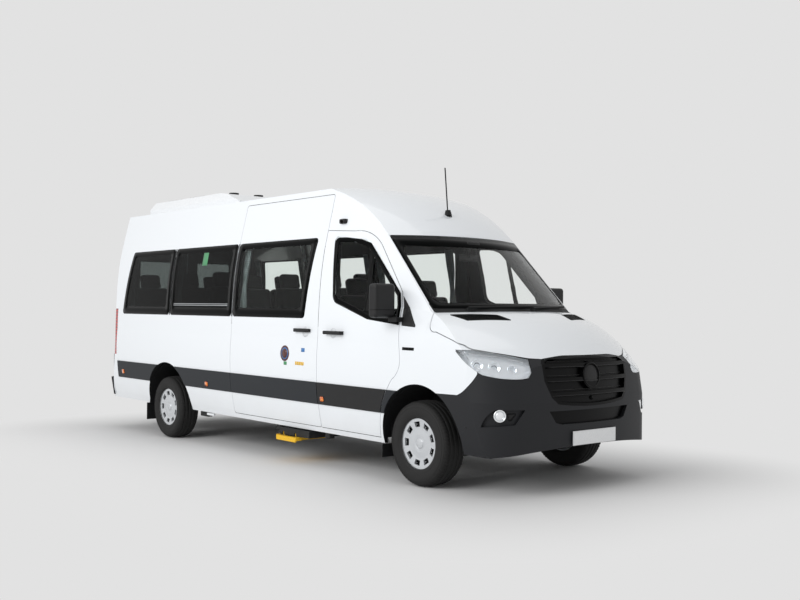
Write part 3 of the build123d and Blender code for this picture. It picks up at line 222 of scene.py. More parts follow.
def clearPolycarbonate(name, hexText):
    # lamp cover moulded in polycarbonate
    material, tree, shader = startMaterial(name, hexText, 0.0, 0.0, 1.45)
    shader.inputs["Transmission Weight"].default_value = 1.0
    addGrain(tree, shader, 60, 0.03, 1.0)
    return material


def vapourAluminium(name, hexText="#eef0f2", metallic=1.0):
    # aluminium deposited on a moulded reflector: mirror-bright, with shallow flutes
    material, tree, shader = startMaterial(name, hexText, 0.12, metallic)
    addGrain(tree, shader, 18, 0.25, 2.0, roughs=(0.08, 0.22))
    return material


def colouredAcrylic(name, hexText, ribShadeHex, rib=6):
    # lamp lens in dyed acrylic, ribbed on the inside; the bands of deeper and brighter colour are painted light
    # and shade from the ribs
    material, tree, shader = startMaterial(name, hexText, 0.12)
    shader.inputs["Coat Weight"].default_value = 1.0
    shader.inputs["Coat Roughness"].default_value = 0.03
    place = addNode(tree, "ShaderNodeTexCoord")
    waves = addNode(tree, "ShaderNodeTexWave", {"Vector": place.outputs["Object"]},
                    bands_direction="Z", Scale=1000 / rib / 20, Distortion=0.0)
    ramp = addNode(tree, "ShaderNodeValToRGB", {"Fac": waves.outputs["Fac"]})
    ramp.color_ramp.elements[0].color = linearColour(ribShadeHex)
    ramp.color_ramp.elements[1].color = linearColour(hexText)
    tree.links.new(ramp.outputs["Color"], shader.inputs["Base Color"])
    return material


def vulcanisedRubber(name, hexText, paleHex):
    # tyre rubber: dull black, greyer where it has scuffed
    material, tree, shader = startMaterial(name, hexText, 0.78)
    addGrain(tree, shader, 14, 0.3, 6.0, (hexText, paleHex), (0.4, 0.75), (0.65, 0.88))
    return material


def silverPaintedPlastic(name, hexText, shadeHex):
    # wheel cover sprayed with fine aluminium flake
    material, tree, shader = startMaterial(name, hexText, 0.34, 0.35)
    shader.inputs["Coat Weight"].default_value = 0.3
    addGrain(tree, shader, 3, 0.02, 2.0, (shadeHex, hexText), (0.2, 0.6), (0.28, 0.4))
    return material


def blackWaxedSteel(name, hexText="#1a1b1d", paleHex="#34332f"):
    # chassis steel, painted black and waxed, with dust in random patches
    material, tree, shader = startMaterial(name, hexText, 0.55, 0.3)
    addGrain(tree, shader, 40, 0.4, 6.0, (hexText, paleHex), (0.42, 0.78), (0.45, 0.8))
    return material


def castAluminium(name, hexText="#83868a"):
    # sand-cast housing: pale grey with a pebbled skin
    material, tree, shader = startMaterial(name, hexText, 0.5, 0.8)
    addGrain(tree, shader, 5, 0.3, 5.0, (hexText, "#5c5f63"), (0.3, 0.8))
    return material


def wovenPolyester(name, hexText, paleHex, thread=3.0):
    # seat or curtain cloth; the weave is drawn at 3 mm, coarser than its 0.6 mm threads, so that it shows
    material, tree, shader = startMaterial(name, hexText, 0.9)
    shader.inputs["Sheen Weight"].default_value = 0.25
    place = addNode(tree, "ShaderNodeTexCoord")
    warp, weft = [addNode(tree, "ShaderNodeTexWave", {"Vector": place.outputs["Object"]},
                          bands_direction=direction, Scale=1000 / thread / 20, Distortion=0.6)
                  for direction in ("Y", "Z")]
    weave = addNode(tree, "ShaderNodeMath", {0: warp.outputs["Fac"], 1: weft.outputs["Fac"]},
                    operation="MULTIPLY")
    ramp = addNode(tree, "ShaderNodeValToRGB", {"Fac": weave.outputs["Value"]})
    ramp.color_ramp.elements[0].color = linearColour(hexText)
    ramp.color_ramp.elements[1].color = linearColour(paleHex)
    bump = addNode(tree, "ShaderNodeBump", {"Height": weave.outputs["Value"]}, Strength=0.5, Distance=0.0006)
    tree.links.new(ramp.outputs["Color"], shader.inputs["Base Color"])
    tree.links.new(bump.outputs["Normal"], shader.inputs["Normal"])
    return material


def powderCoat(name, hexText, wornHex):
    # thick powder coat with grit, chipped a little on its edges
    material, tree, shader = startMaterial(name, hexText, 0.5)
    addGrain(tree, shader, 6, 0.3, 6.0, (wornHex, hexText), (0.28, 0.42), (0.4, 0.65))
    return material


def printedVinyl(name, hexText, paleHex):
    # thin printed film stuck to the paint
    material, tree, shader = startMaterial(name, hexText, 0.3)
    addGrain(tree, shader, 12, 0.02, 2.0, (hexText, paleHex), (0.35, 0.8))
    return material


print("stage: materials")
# the near-black lining colour is partly the lining's own colour and partly painted shade of the closed cabin
paint = enamelledSteel("enamelWhite", "#eff3f7", "#15181a")
cover = gelcoat("gelcoatWhite", "#f1f3f5")
bumperPlastic = mouldedPolypropylene("polypropyleneAnthracite", "#1a1b1e", "#252629")
stripPlastic = mouldedPolypropylene("polypropyleneStrip", "#202327", "#2a2d31", 0.5)
mattPlastic = mouldedPolypropylene("polypropyleneBlack", "#0f1011", "#191a1b", 0.6)
trimPlastic = mouldedPolypropylene("polypropyleneTrim", "#171718", "#222223", 0.42, 1.6, 0.05)
dashPlastic = mouldedPolypropylene("dashSkin", "#191c1e", "#24282a", 0.65, 3.0, 0.2)
grilleGloss = glossAbs("absBlack", "#030304", 0.3, 0.02, 0.12)
fritGlass = glossAbs("ceramicFrit", "#020303", 0.12, 0.0, 0.06)
clearGlass = safetyGlass("safetyGlassClear", "#fcfefd")
sideGlass = safetyGlass("safetyGlassSide", "#f6fbf8")
privacyGlass = safetyGlass("safetyGlassPrivacy", "#59605f")
lampCover = clearPolycarbonate("polycarbonateClear", "#fbfdff")
reflector = vapourAluminium("reflectorAluminium")
# the bowls are near white and only half metallic: a painted reflection, brighter than bare aluminium
paintedShineReflector = vapourAluminium("bowlAluminiumPaintedShine", "#f6f8fa", 0.45)
# the second colour of each lens is the painted shade of its rib bands
redLens = colouredAcrylic("acrylicRed", "#c21418", "#7c070a")
amberLens = colouredAcrylic("acrylicAmber", "#ff8c12", "#d55f04")
rubber = vulcanisedRubber("tyreRubber", "#0d0d0d", "#1b1a19")
wheelSilver = silverPaintedPlastic("wheelSilver", "#d3d6d9", "#b4b7bb")
frameSteel = blackWaxedSteel("chassisBlack")
alloyCast = castAluminium("castHousing")
# the seat cloth is drawn near black: partly its own dark colour, partly painted shade of the closed cabin
seatClothShaded = wovenPolyester("seatClothShaded", "#111315", "#1d2022")
curtainCloth = wovenPolyester("curtainCloth", "#6a7375", "#99a3a4")
yellowCoat = powderCoat("powderYellow", "#f0bd1c", "#8d7a35")
plateWhite = printedVinyl("plateFilm", "#f0f1f2", "#e6e8ea")

nodeFinishes = {
    "side_frame_right": paint, "side_frame_left": paint, "roof_panel": paint, "fenders": paint,
    "sliding_door": paint, "hood": paint, "door_right": paint, "door_left": paint,
    "rear_door_right": paint, "rear_door_left": paint, "windscreen": clearGlass,
    "side_windows": sideGlass, "door_glass_right": clearGlass, "door_glass_left": clearGlass,
    "rear_glass_right": sideGlass, "rear_glass_left": sideGlass, "cowl_panel": mattPlastic,
    "front_bumper": bumperPlastic, "front_plate": plateWhite, "grille": grilleGloss,
    "headlamp_lenses": lampCover, "headlamp_bowls": paintedShineReflector, "tail_lamps": redLens,
    "rear_bumper": bumperPlastic, "side_mouldings": stripPlastic, "wheel_liners": mattPlastic,
    "floor_pan": frameSteel, "chassis_rails": frameSteel, "drive_units": alloyCast,
    "roof_aircon": cover, "roof_fittings": mattPlastic, "step_housing": frameSteel,
    "step_tread": yellowCoat, "dashboard": dashPlastic, "steering_wheel": trimPlastic,
    "door_trim_right": trimPlastic, "door_trim_left": trimPlastic, "wipers": mattPlastic,
    "axles": frameSteel, "knuckle_left": frameSteel, "knuckle_right": frameSteel,
    "front_seats": seatClothShaded, "passenger_seats": seatClothShaded, "curtains": curtainCloth,
}
wheelNames = ("front_left", "front_right", "rear_left", "rear_right")
for wheel in wheelNames:
    nodeFinishes["tyre_" + wheel] = rubber
    nodeFinishes["rim_" + wheel] = wheelSilver
# a piece rides with the body of the CAD node that it dresses
nodeBodies = {node: body for body, members in frame["record"]["behaviour"]["bodies"].items()
              for node in members}
for name, finish in nodeFinishes.items():
    for materialSlot in nodes[name].material_slots:
        materialSlot.material = finish

# the right panes behind the first post are privacy glass
privacyFront = at(-2900, 0, 1700).x
paneMesh = nodes["side_windows"].data
paneMesh.materials.append(privacyGlass)
for face in paneMesh.polygons:
    if face.center.y < 0 and face.center.x < privacyFront:
        face.material_index = len(paneMesh.materials) - 1

# cut edges of the painted panels round the wheel arches and the windows are black
cutEdges = {"arches": [(12, 345, 485), (-4329, 289, 510)], "archReach": 1.5,
            "windowRear": -5520, "sill": 1290, "windowHead": 2110, "turnedAway": 0.6,
            "windowFront": {"side_frame_right": -1300, "side_frame_left": -1300, "sliding_door": -1300,
                            "door_right": -200, "door_left": -200, "fenders": -9000}}
rowToBody = bodyToRow.inverted()
for name, front in cutEdges["windowFront"].items():
    panelMesh = nodes[name].data
    panelMesh.materials.append(mattPlastic)
    for face in panelMesh.polygons:
        middle = rowToBody @ face.center * 1000
        arched = any(math.hypot(middle.x - x, middle.z - z) < radius + cutEdges["archReach"]
                     for x, z, radius in cutEdges["arches"])
        window = (cutEdges["windowRear"] < middle.x < front
                  and cutEdges["sill"] < middle.z < cutEdges["windowHead"]
                  and abs(face.normal.y) < cutEdges["turnedAway"])
        if arched or window:
            face.material_index = len(panelMesh.materials) - 1


def addForm(name, form, node, material, smooth=True):
    # turns a form into a piece that rides with a CAD node's body
    bmesh.ops.recalc_face_normals(form, faces=form.faces)
    form.verts.index_update()
    mesh = bpy.data.meshes.new(name)
    mesh.from_pydata([tuple(v.co) for v in form.verts], [], [[v.index for v in f.verts] for f in form.faces])
    form.free()
    mesh.validate()
    mesh.update()
    mesh.polygons.foreach_set("use_smooth", [smooth] * len(mesh.polygons))
    mesh.materials.append(material)
    piece = bpy.data.objects.new(name, mesh)
    scene.collection.objects.link(piece)
    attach(piece, nodeBodies[node])
    return piece


def addBevel(piece, width, segments=3):
    bevel = piece.modifiers.new("edge", "BEVEL")
    bevel.width, bevel.segments = width / 1000, segments
    bevel.limit_method, bevel.angle_limit = "ANGLE", math.radians(40)
    return piece


def addThickness(piece, thickness):
    # half of the wall lies on each side of the form
    solid = piece.modifiers.new("wall", "SOLIDIFY")
    solid.thickness, solid.offset = thickness / 1000, 0
    return piece


def addCube(form, place, size):
    bmesh.ops.create_cube(form, size=1.0, matrix=place @ Matrix.Diagonal([side / 1000 for side in size] + [1]))


def addBlock(form, middle, size):
    # a block in the body's own frame
    addCube(form, bodyToRow @ Matrix.Translation(Vector(middle) / 1000), size)


def addBlocks(name, blocks, node, material, edge=0, segments=3):
    # one piece from (middle, size) blocks, with rounded edges where a width is given
    form = bmesh.new()
    for middle, size in blocks:
        addBlock(form, middle, size)
    if not edge:
        return addForm(name, form, node, material, False)
    return addBevel(addForm(name, form, node, material), edge, segments)


def joinRows(form, rows, closed=True):
    # quads from each row of points to the next; a closed row wraps round to its own start
    for low, high in zip(rows, rows[1:]):
        for i in range(len(low) if closed else len(low) - 1):
            j = (i + 1) % len(low)
            form.faces.new((low[i], low[j], high[j], high[i]))


def turnedForm(form, profile, place, steps=48, hollow=False):
    # profile: (radius, height), turned about the local Z of place; hollow closes it as a ring
    rings = []
    for radius, height in profile:
        ring = []
        for i in range(steps):
            angle = 2 * math.pi * i / steps
            local = Vector((radius * math.cos(angle), radius * math.sin(angle), height)) / 1000
            ring.append(form.verts.new(place @ local))
        rings.append(ring)
    joinRows(form, rings + rings[:1] if hollow else rings)
    if not hollow:
        form.faces.new(rings[0])
        form.faces.new(rings[-1])


def addTurned(name, profile, place, node, material, steps=48, hollow=False):
    form = bmesh.new()
    turnedForm(form, profile, place, steps, hollow)
    return addForm(name, form, node, material)


def facing(origin, normal):
    # matrix whose Z looks along normal, at a point in the row frame
    return Matrix.Translation(origin) @ normal.to_track_quat("Z", "Y").to_matrix().to_4x4()


surfaceTrees = {}


def surfaceOf(node):
    if node not in surfaceTrees:
        mesh = nodes[node].data
        surfaceTrees[node] = BVHTree.FromPolygons([v.co.copy() for v in mesh.vertices],
                                                  [tuple(p.vertices) for p in mesh.polygons])
    return surfaceTrees[node]


# a way onto the body: how two flat values become a start point and a direction, in the body's frame
approaches = {
    "right": (lambda u, v: (u, -1500, v), (0, 1, 0)),
    "left": (lambda u, v: (u, 1500, v), (0, -1, 0)),
    "top": (lambda u, v: (u, v, 3200), (0, 0, -1)),
    "front": (lambda u, v: (1500, u, v), (-1, 0, 0)),
    "rear": (lambda u, v: (-6500, u, v), (1, 0, 0)),
    "rightCorner": (lambda u, v: (1200 + u * 0.7071, -1200 + u * 0.7071, v), (-0.7071, 0.7071, 0)),
    "leftCorner": (lambda u, v: (1200 + u * 0.7071, 1200 - u * 0.7071, v), (-0.7071, -0.7071, 0)),
}
sides = (("right", -1), ("left", 1))


def onSurface(node, approach, u, v, lift=0.0):
    start, direction = approaches[approach]
    heading = along(*direction)
    hit, normal, _, _ = surfaceOf(node).ray_cast(at(*start(u, v)), heading)
    if hit is None:
        return None, None
    if normal.dot(heading) > 0:
        normal = -normal
    return hit + normal * lift / 1000, normal


def laidForm(node, approach, form, lift):
    # drops a flat form, whose vertices hold (u, v, height above the surface), onto a node's surface
    lost = []
    for vertex in form.verts:
        hit, normal = onSurface(node, approach, vertex.co.x, vertex.co.y, lift + vertex.co.z)
        if hit is None:
            lost.append(vertex)
        else:
            vertex.co = hit
    bmesh.ops.delete(form, geom=lost, context="VERTS")
    return form


def roundedLoop(corners, radius, arcSteps, edgeSteps):
    # closed loop through rounded corners, with a fixed count of points so that two loops pair up
    loop = []
    count = len(corners)
    radii = radius if isinstance(radius, (list, tuple)) else [radius] * count
    arcs = []
    for i, corner in enumerate(corners):
        here = Vector(corner)
        before = (Vector(corners[i - 1]) - here).normalized()
        after = (Vector(corners[(i + 1) % count]) - here).normalized()
        half = before.angle(after) / 2
        reach = radii[i] / math.tan(half)
        centre = here + (before + after).normalized() * radii[i] / math.sin(half)
        first, last = here + before * reach - centre, here + after * reach - centre
        sweep = first.angle_signed(last) if radii[i] > 0 else 0
        arc = []
        for k in range(arcSteps + 1):
            turn = -sweep * k / arcSteps
            arc.append(centre + Vector((first.x * math.cos(turn) - first.y * math.sin(turn),
                                        first.x * math.sin(turn) + first.y * math.cos(turn))))
        arcs.append(arc)
    for i, arc in enumerate(arcs):
        loop += arc
        onward = arcs[(i + 1) % count][0]
        for k in range(1, edgeSteps):
            loop.append(arc[-1].lerp(onward, k / edgeSteps))
    return loop


def insetCorners(corners, gaps):
    # moves each side of a polygon inwards by its own gap; side i runs from corner i to corner i + 1
    count = len(corners)
    area = sum(corners[i - 1][0] * corners[i][1] - corners[i][0] * corners[i - 1][1] for i in range(count))
    hand = 1 if area > 0 else -1
    gaps = gaps if isinstance(gaps, (list, tuple)) else [gaps] * count
    lines = []
    for i in range(count):
        a, b = Vector(corners[i]), Vector(corners[(i + 1) % count])
        run = (b - a).normalized()
        inward = Vector((-run.y, run.x)) * hand
        lines.append((a + inward * gaps[i], run))
    moved = []
    for i in range(count):
        (p, r), (q, s) = lines[i - 1], lines[i]
        cross = r.x * s.y - r.y * s.x
        t = ((q - p).x * s.y - (q - p).y * s.x) / cross
        moved.append(tuple(p + r * t))
    return moved


def ringForm(outer, inner, strips=2):
    form = bmesh.new()
    joinRows(form, [[form.verts.new((*a.lerp(b, k / strips), 0)) for a, b in zip(outer, inner)]
                    for k in range(strips + 1)])
    return form


def patchForm(loop, cell):
    # a filled outline cut into cells, so that it can follow a curved panel
    form = bmesh.new()
    form.faces.new([form.verts.new((p[0], p[1], 0)) for p in loop])
    us, vs = [p[0] for p in loop], [p[1] for p in loop]
    for axis, values in ((0, us), (1, vs)):
        place = min(values) + cell
        while place < max(values):
            spot, normal = [0, 0, 0], [0, 0, 0]
            spot[axis], normal[axis] = place, 1
            bmesh.ops.bisect_plane(form, geom=form.verts[:] + form.edges[:] + form.faces[:], dist=1e-4,
                                   plane_co=spot, plane_no=normal)
            place += cell
    bmesh.ops.triangulate(form, faces=form.faces)
    return form


def reachedLoop(node, approach, outer, inner):
    # pulls each outer point in towards its partner until it lies over the node
    reached = []
    for far, near in zip(outer, inner):
        steps = [far.lerp(near, k / 60) for k in range(60)]
        over = [p for p in steps if onSurface(node, approach, p.x, p.y)[0] is not None]
        reached.append(over[0] if over else far)
    return reached


def addBorder(name, node, approach, corners, radius, gaps, innerRadius, edgeSteps=12):
    # a band of ceramic frit round the inside of a pane's edge
    inner = roundedLoop(insetCorners(corners, gaps), innerRadius, 6, edgeSteps)
    outer = reachedLoop(node, approach, roundedLoop(corners, radius, 6, edgeSteps), inner)
    form = laidForm(node, approach, ringForm(outer, inner), frit["lift"])
    return addThickness(addForm(name, form, node, fritGlass), frit["thick"])


def addPatch(name, node, approach, loop, material, cell=60, lift=0.4, thickness=0.8):
    form = laidForm(node, approach, patchForm(loop, cell), lift)
    return addThickness(addForm(name, form, node, material), thickness)


def circleLoop(u, v, radius, steps=32):
    return [(u + radius * math.cos(2 * math.pi * i / steps), v + radius * math.sin(2 * math.pi * i / steps))
            for i in range(steps)]


def boxLoop(lowU, lowV, highU, highV, radius):
    corners = [(lowU, lowV), (highU, lowV), (highU, highV), (lowU, highV)]
    return [tuple(p) for p in roundedLoop(corners, radius, 5, 6)]


def centredLoop(u, v, wide, high, radius):
    return boxLoop(u - wide / 2, v - high / 2, u + wide / 2, v + high / 2, radius)


print("stage: glass borders")
frit = {"lift": 0.35, "thick": 1.2}
# each side pane: front edge at its foot and head, rear edge at its foot and head, and its four border widths
sidePane = {"low": 1339, "top": 2086, "corner": 40, "innerCorner": 34,
            "panes": [("First", (-1597, -1489, -2885, -2885), (85, 62, 82, 90)),
                      ("Second", (-2915, -2915, -4262, -4262), (82, 62, 82, 90)),
                      ("Third", (-4288, -4288, -5501, -5368), (82, 62, 85, 90))],
            "sail": [(-316, 1546), (-83, 1301), (-83, 1288), (-243, 1298)]}
for side, _ in sides:
    for label, (frontLow, frontTop, rearLow, rearTop), borders in sidePane["panes"]:
        corners = [(frontLow, sidePane["low"]), (frontTop, sidePane["top"]),
                   (rearTop, sidePane["top"]), (rearLow, sidePane["low"])]
        addBorder(f"paneBorder{label}_{side}", "side_windows", side, corners, sidePane["corner"], borders,
                  sidePane["innerCorner"])
    addPatch("sailPanel_" + side, "side_windows", side, sidePane["sail"], trimPlastic, 40)

doorPane = {"corners": [(-1254, 2078), (-985, 2070), (-800, 2012), (-352, 1568), (-278, 1300),
                        (-392, 1312), (-688, 1342), (-1190, 1500)],
            "radii": [46, 120, 70, 20, 6, 200, 300, 90], "border": 42, "innerStep": 16, "leastRadius": 4,
            "pillar": [(-800, 2000), (-742, 1948), (-668, 1350), (-740, 1362)]}
innerRadii = [max(r - doorPane["innerStep"], doorPane["leastRadius"]) for r in doorPane["radii"]]
for side, _ in sides:
    node = "door_glass_" + side
    addBorder("doorPaneBorder_" + side, node, side, doorPane["corners"], doorPane["radii"],
              doorPane["border"], innerRadii)
    addPatch("doorPanePillar_" + side, node, side, doorPane["pillar"], fritGlass, 60, frit["lift"])

screenPane = {"corners": [(-835, 1442), (835, 1442), (784, 2080), (-784, 2080)], "border": (46, 46, 96, 46)}
addBorder("screenBorder", "windscreen", "front", screenPane["corners"], 28, screenPane["border"], 60, 28)
rearPane = {"corners": [(689, 1381), (116, 1381), (116, 2039), (689, 2039)], "border": 42}
for side, hand in sides:
    corners = [(hand * u, v) for u, v in rearPane["corners"]]
    addBorder("rearPaneBorder_" + side, "rear_glass_" + side, "rear", corners, 40, rearPane["border"], 26)

print("stage: studio")
# floor, world and lamps
# the floor keeps its shadows inside the stand and fades to the backdrop outside it; lengths here are in metres
studio = {"backHex": "#e2e2e2", "floorHex": "#e2e2e2", "floorHalf": 60, "stand": (3.1, 1.0, 9.0),
          "fadeFrom": 0.0, "fadeTo": 2.0, "worldStrength": 0.52,
          "keyEnergy": 600, "frontEnergy": 6, "topEnergy": 95}
world = bpy.data.worlds.new("studio")
world.use_nodes = True
scene.world = world
worldTree = world.node_tree
rays = addNode(worldTree, "ShaderNodeLightPath")
mirrored = addNode(worldTree, "ShaderNodeMath",
                   {0: rays.outputs["Is Camera Ray"], 1: rays.outputs["Is Glossy Ray"]}, operation="MAXIMUM")
seen = addNode(worldTree, "ShaderNodeMath",
               {0: mirrored.outputs["Value"], 1: rays.outputs["Is Transmission Ray"]}, operation="MAXIMUM")
backdrop = worldTree.nodes["Background"]
backdrop.inputs["Color"].default_value = linearColour("#ffffff")
backdrop.inputs["Strength"].default_value = studio["worldStrength"]
shown = addNode(worldTree, "ShaderNodeBackground", Color=linearColour(studio["backHex"]), Strength=1.0)
blend = addNode(worldTree, "ShaderNodeMixShader", {0: seen.outputs["Value"], 1: backdrop.outputs[0],
                                                   2: shown.outputs[0]})
worldTree.links.new(blend.outputs[0], worldTree.nodes["World Output"].inputs["Surface"])

floorMesh = bpy.data.meshes.new("floor")
half = studio["floorHalf"]
floorCorners = [(-half, -half, 0), (half, -half, 0), (half, half, 0), (-half, half, 0)]
floorMesh.from_pydata(floorCorners, [], [(0, 1, 2, 3)])
floor = bpy.data.objects.new("floor", floorMesh)
scene.collection.objects.link(floor)
floorMaterial, floorTree, floorShader = startMaterial("studioFloor", studio["floorHex"], 0.85)
floorShader.inputs["Specular IOR Level"].default_value = 0.15
spot = addNode(floorTree, "ShaderNodeNewGeometry")
folded = addNode(floorTree, "ShaderNodeVectorMath", {0: spot.outputs["Position"]}, operation="ABSOLUTE")
outside = addNode(floorTree, "ShaderNodeVectorMath", {0: folded.outputs["Vector"]}, operation="SUBTRACT",
                  in1=studio["stand"])
clear = addNode(floorTree, "ShaderNodeVectorMath", {0: outside.outputs["Vector"]}, operation="MAXIMUM",
                in1=(0, 0, 0))
far = addNode(floorTree, "ShaderNodeVectorMath", {0: clear.outputs["Vector"]}, operation="LENGTH")
fade = addNode(floorTree, "ShaderNodeMapRange", {"Value": far.outputs["Value"]},
               interpolation_type="SMOOTHSTEP")
fade.inputs["From Min"].default_value = studio["fadeFrom"]
fade.inputs["From Max"].default_value = studio["fadeTo"]
glow = addNode(floorTree, "ShaderNodeEmission", Color=linearColour(studio["backHex"]), Strength=1.0)
floorBlend = addNode(floorTree, "ShaderNodeMixShader", {0: fade.outputs["Result"], 1: floorShader.outputs[0],
                                                        2: glow.outputs[0]})
floorTree.links.new(floorBlend.outputs[0], floorTree.nodes["Material Output"].inputs["Surface"])
floorMesh.materials.append(floorMaterial)

lamps = [
    ("keySoftbox", (1.0, -10.0, 5.5), (0.0, 0.0, 1.2), (9, 5), studio["keyEnergy"]),
    ("frontSoftbox", (11.0, 1.5, 4.5), (1.5, 0.0, 1.0), (5, 4), studio["frontEnergy"]),
    ("topSoftbox", (-0.5, 0.0, 8.5), (-0.5, 0.0, 0.0), (9, 5), studio["topEnergy"]),
]
for name, place, target, size, energy in lamps:
    lightData = bpy.data.lights.new(name, "AREA")
    lightData.shape, lightData.size, lightData.size_y = "RECTANGLE", size[0], size[1]
    lightData.energy = energy
    light = bpy.data.objects.new(name, lightData)
    light.location = place
    light.rotation_euler = (Vector(target) - Vector(place)).to_track_quat("-Z", "Y").to_euler()
    scene.collection.objects.link(light)

print("stage: wheels")
# wall points are (radius, distance outboard of the wheel's middle); grooves are cut between them
tyre = {"radius": 348, "steps": 216, "grooves": (-62, -22, 22, 62), "grooveHalf": 6, "grooveDepth": 9,
        "shoulder": 66, "blockDepth": 6, "pitch": 3,
        "wall": [(204, 92), (206, 100), (232, 109), (272, 117), (300, 115), (322, 108), (334, 100)],
        "rings": [(238, 241, 111.5), (296, 299, 117.0), (318, 320, 111.5)]}
treadProfile = [(radius, -out) for radius, out in tyre["wall"]]
for middle in tyre["grooves"]:
    crown = tyre["radius"] - 7 * (middle / 90) ** 2
    low, high, bottom = middle - tyre["grooveHalf"], middle + tyre["grooveHalf"], crown - tyre["grooveDepth"]
    treadProfile += [(crown, low - 3), (crown - 1, low), (bottom, low + 2),
                     (bottom, high - 2), (crown - 1, high), (crown, high + 3)]
treadProfile += reversed(tyre["wall"])

wheelCover = {"lip": [(205, 84), (205, 97), (209, 100), (219, 100), (222, 96), (222, 84)],
              "cap": [(0.5, 90), (34, 89), (40, 86), (42, 80), (48, 80), (50, 84), (53, 84), (55, 79)],
              "back": [(64, 46), (64, 52), (186, 58), (186, 52)],
              "clip": [(0.5, 0), (3.5, 0), (3.5, 3.2), (2.6, 4), (0.5, 4)],
              "clips": 9, "clipRing": 158, "clipOut": 86.5}
frontX, rearX = stance["frontAxleX"], stance["frontAxleX"] - stance["wheelbase"]
wheelPlaces = {"front_left": (frontX, 866, 1), "front_right": (frontX, -866, -1),
               "rear_left": (rearX, 868, 1), "rear_right": (rearX, -868, -1)}
for wheel, (x, y, hand) in wheelPlaces.items():
    hub = facing(Vector((x / 1000, y / 1000, stance["axleHeight"] / 1000)), Vector((0, hand, 0)))
    form = bmesh.new()
    rows = []
    for radius, out in treadProfile:
        notched = abs(out) > tyre["shoulder"] and radius > 330
        row = []
        for i in range(tyre["steps"]):
            angle = 2 * math.pi * i / tyre["steps"]
            r = radius - (tyre["blockDepth"] if notched and i % tyre["pitch"] == 0 else 0)
            row.append(form.verts.new(hub @ (Vector((r * math.cos(angle), r * math.sin(angle), out)) / 1000)))
        rows.append(row)
    joinRows(form, rows + rows[:1])
    piece = addForm("tyreTread_" + wheel, form, "tyre_" + wheel, rubber)
    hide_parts("tyre_" + wheel)
    form = bmesh.new()
    for low, high, out in tyre["rings"]:
        turnedForm(form, [(low - 1, out - 3), (low, out), (high, out), (high + 1, out - 3)], hub, 96, True)
    addForm("sidewallRings_" + wheel, form, "tyre_" + wheel, rubber)
    rim = "rim_" + wheel
    addTurned("rimLip_" + wheel, wheelCover["lip"], hub, rim, wheelSilver, 120, True)
    addTurned("hubCap_" + wheel, wheelCover["cap"], hub, rim, wheelSilver, 64)
    # a matt black ring stands behind the wheel cover
    addTurned("wheelBackRing_" + wheel, wheelCover["back"], hub, rim, mattPlastic, 64, True)
    form = bmesh.new()
    ring = wheelCover["clipRing"] / 1000
    for i in range(wheelCover["clips"]):
        angle = 2 * math.pi * (i + 0.5) / wheelCover["clips"]
        spot = (ring * math.cos(angle), ring * math.sin(angle), wheelCover["clipOut"] / 1000)
        turnedForm(form, wheelCover["clip"], hub @ Matrix.Translation(spot), 12)
    addForm("coverClips_" + wheel, form, rim, wheelSilver)

print("stage: seats")
# places are (behind the front edge, below the crown); heights of back and head run up the reclined back
seat = {"floor": 640, "recline": 14, "cushion": (506, 108), "cushionAt": (250, 58), "pivotAt": (500, 60),
        "back": (644, 112), "backUp": 322, "head": (176, 250, 84), "headUp": 728,
        "shell": [(-62, 40), (-70, 60), (-72, 560), (-62, 612)], "shellInset": 26, "postY": 55, "postUp": 620,
        "under": 112, "legs": (-90, -400), "legInset": 75, "leg": (46, 34), "runner": (420, 40, 22),
        "bearer": (430, 70, 34), "bearerDown": 126, "plinth": (380, 90), "plinthBack": 260}


def softBlock(form, place, size, rounding, puff, cells=20):
    # a stuffed pad: rounded edges, a crowned top and three stitched grooves
    half = Vector(size) / 2
    made = {}

    def point(key):
        if key not in made:
            u = Vector([2 * k / cells - 1 for k in key])
            spot = Vector([c * h for c, h in zip(u, half)])
            core = Vector([max(rounding - h, min(h - rounding, c)) for h, c in zip(half, spot)])
            if (spot - core).length > 1e-6:
                spot = core + (spot - core).normalized() * rounding
            if u.z > 0.5:
                crown = (1 - u.x ** 2) * (1 - u.y ** 2)
                groove = math.exp(-((abs(u.y) - 0.6) / 0.1) ** 2) + 0.7 * math.exp(-((u.x - 0.2) / 0.1) ** 2)
                spot.z += puff * crown - 0.5 * puff * groove * (1 - u.x ** 4)
            made[key] = form.verts.new(place @ (spot / 1000))
        return made[key]

    for axis in range(3):
        for end in (0, cells):
            for i in range(cells):
                for j in range(cells):
                    corners = []
                    for a, b in ((i, j), (i + 1, j), (i + 1, j + 1), (i, j + 1)):
                        key = [a, b]
                        key.insert(axis, end)
                        corners.append(point(tuple(key)))
                    form.faces.new(corners)


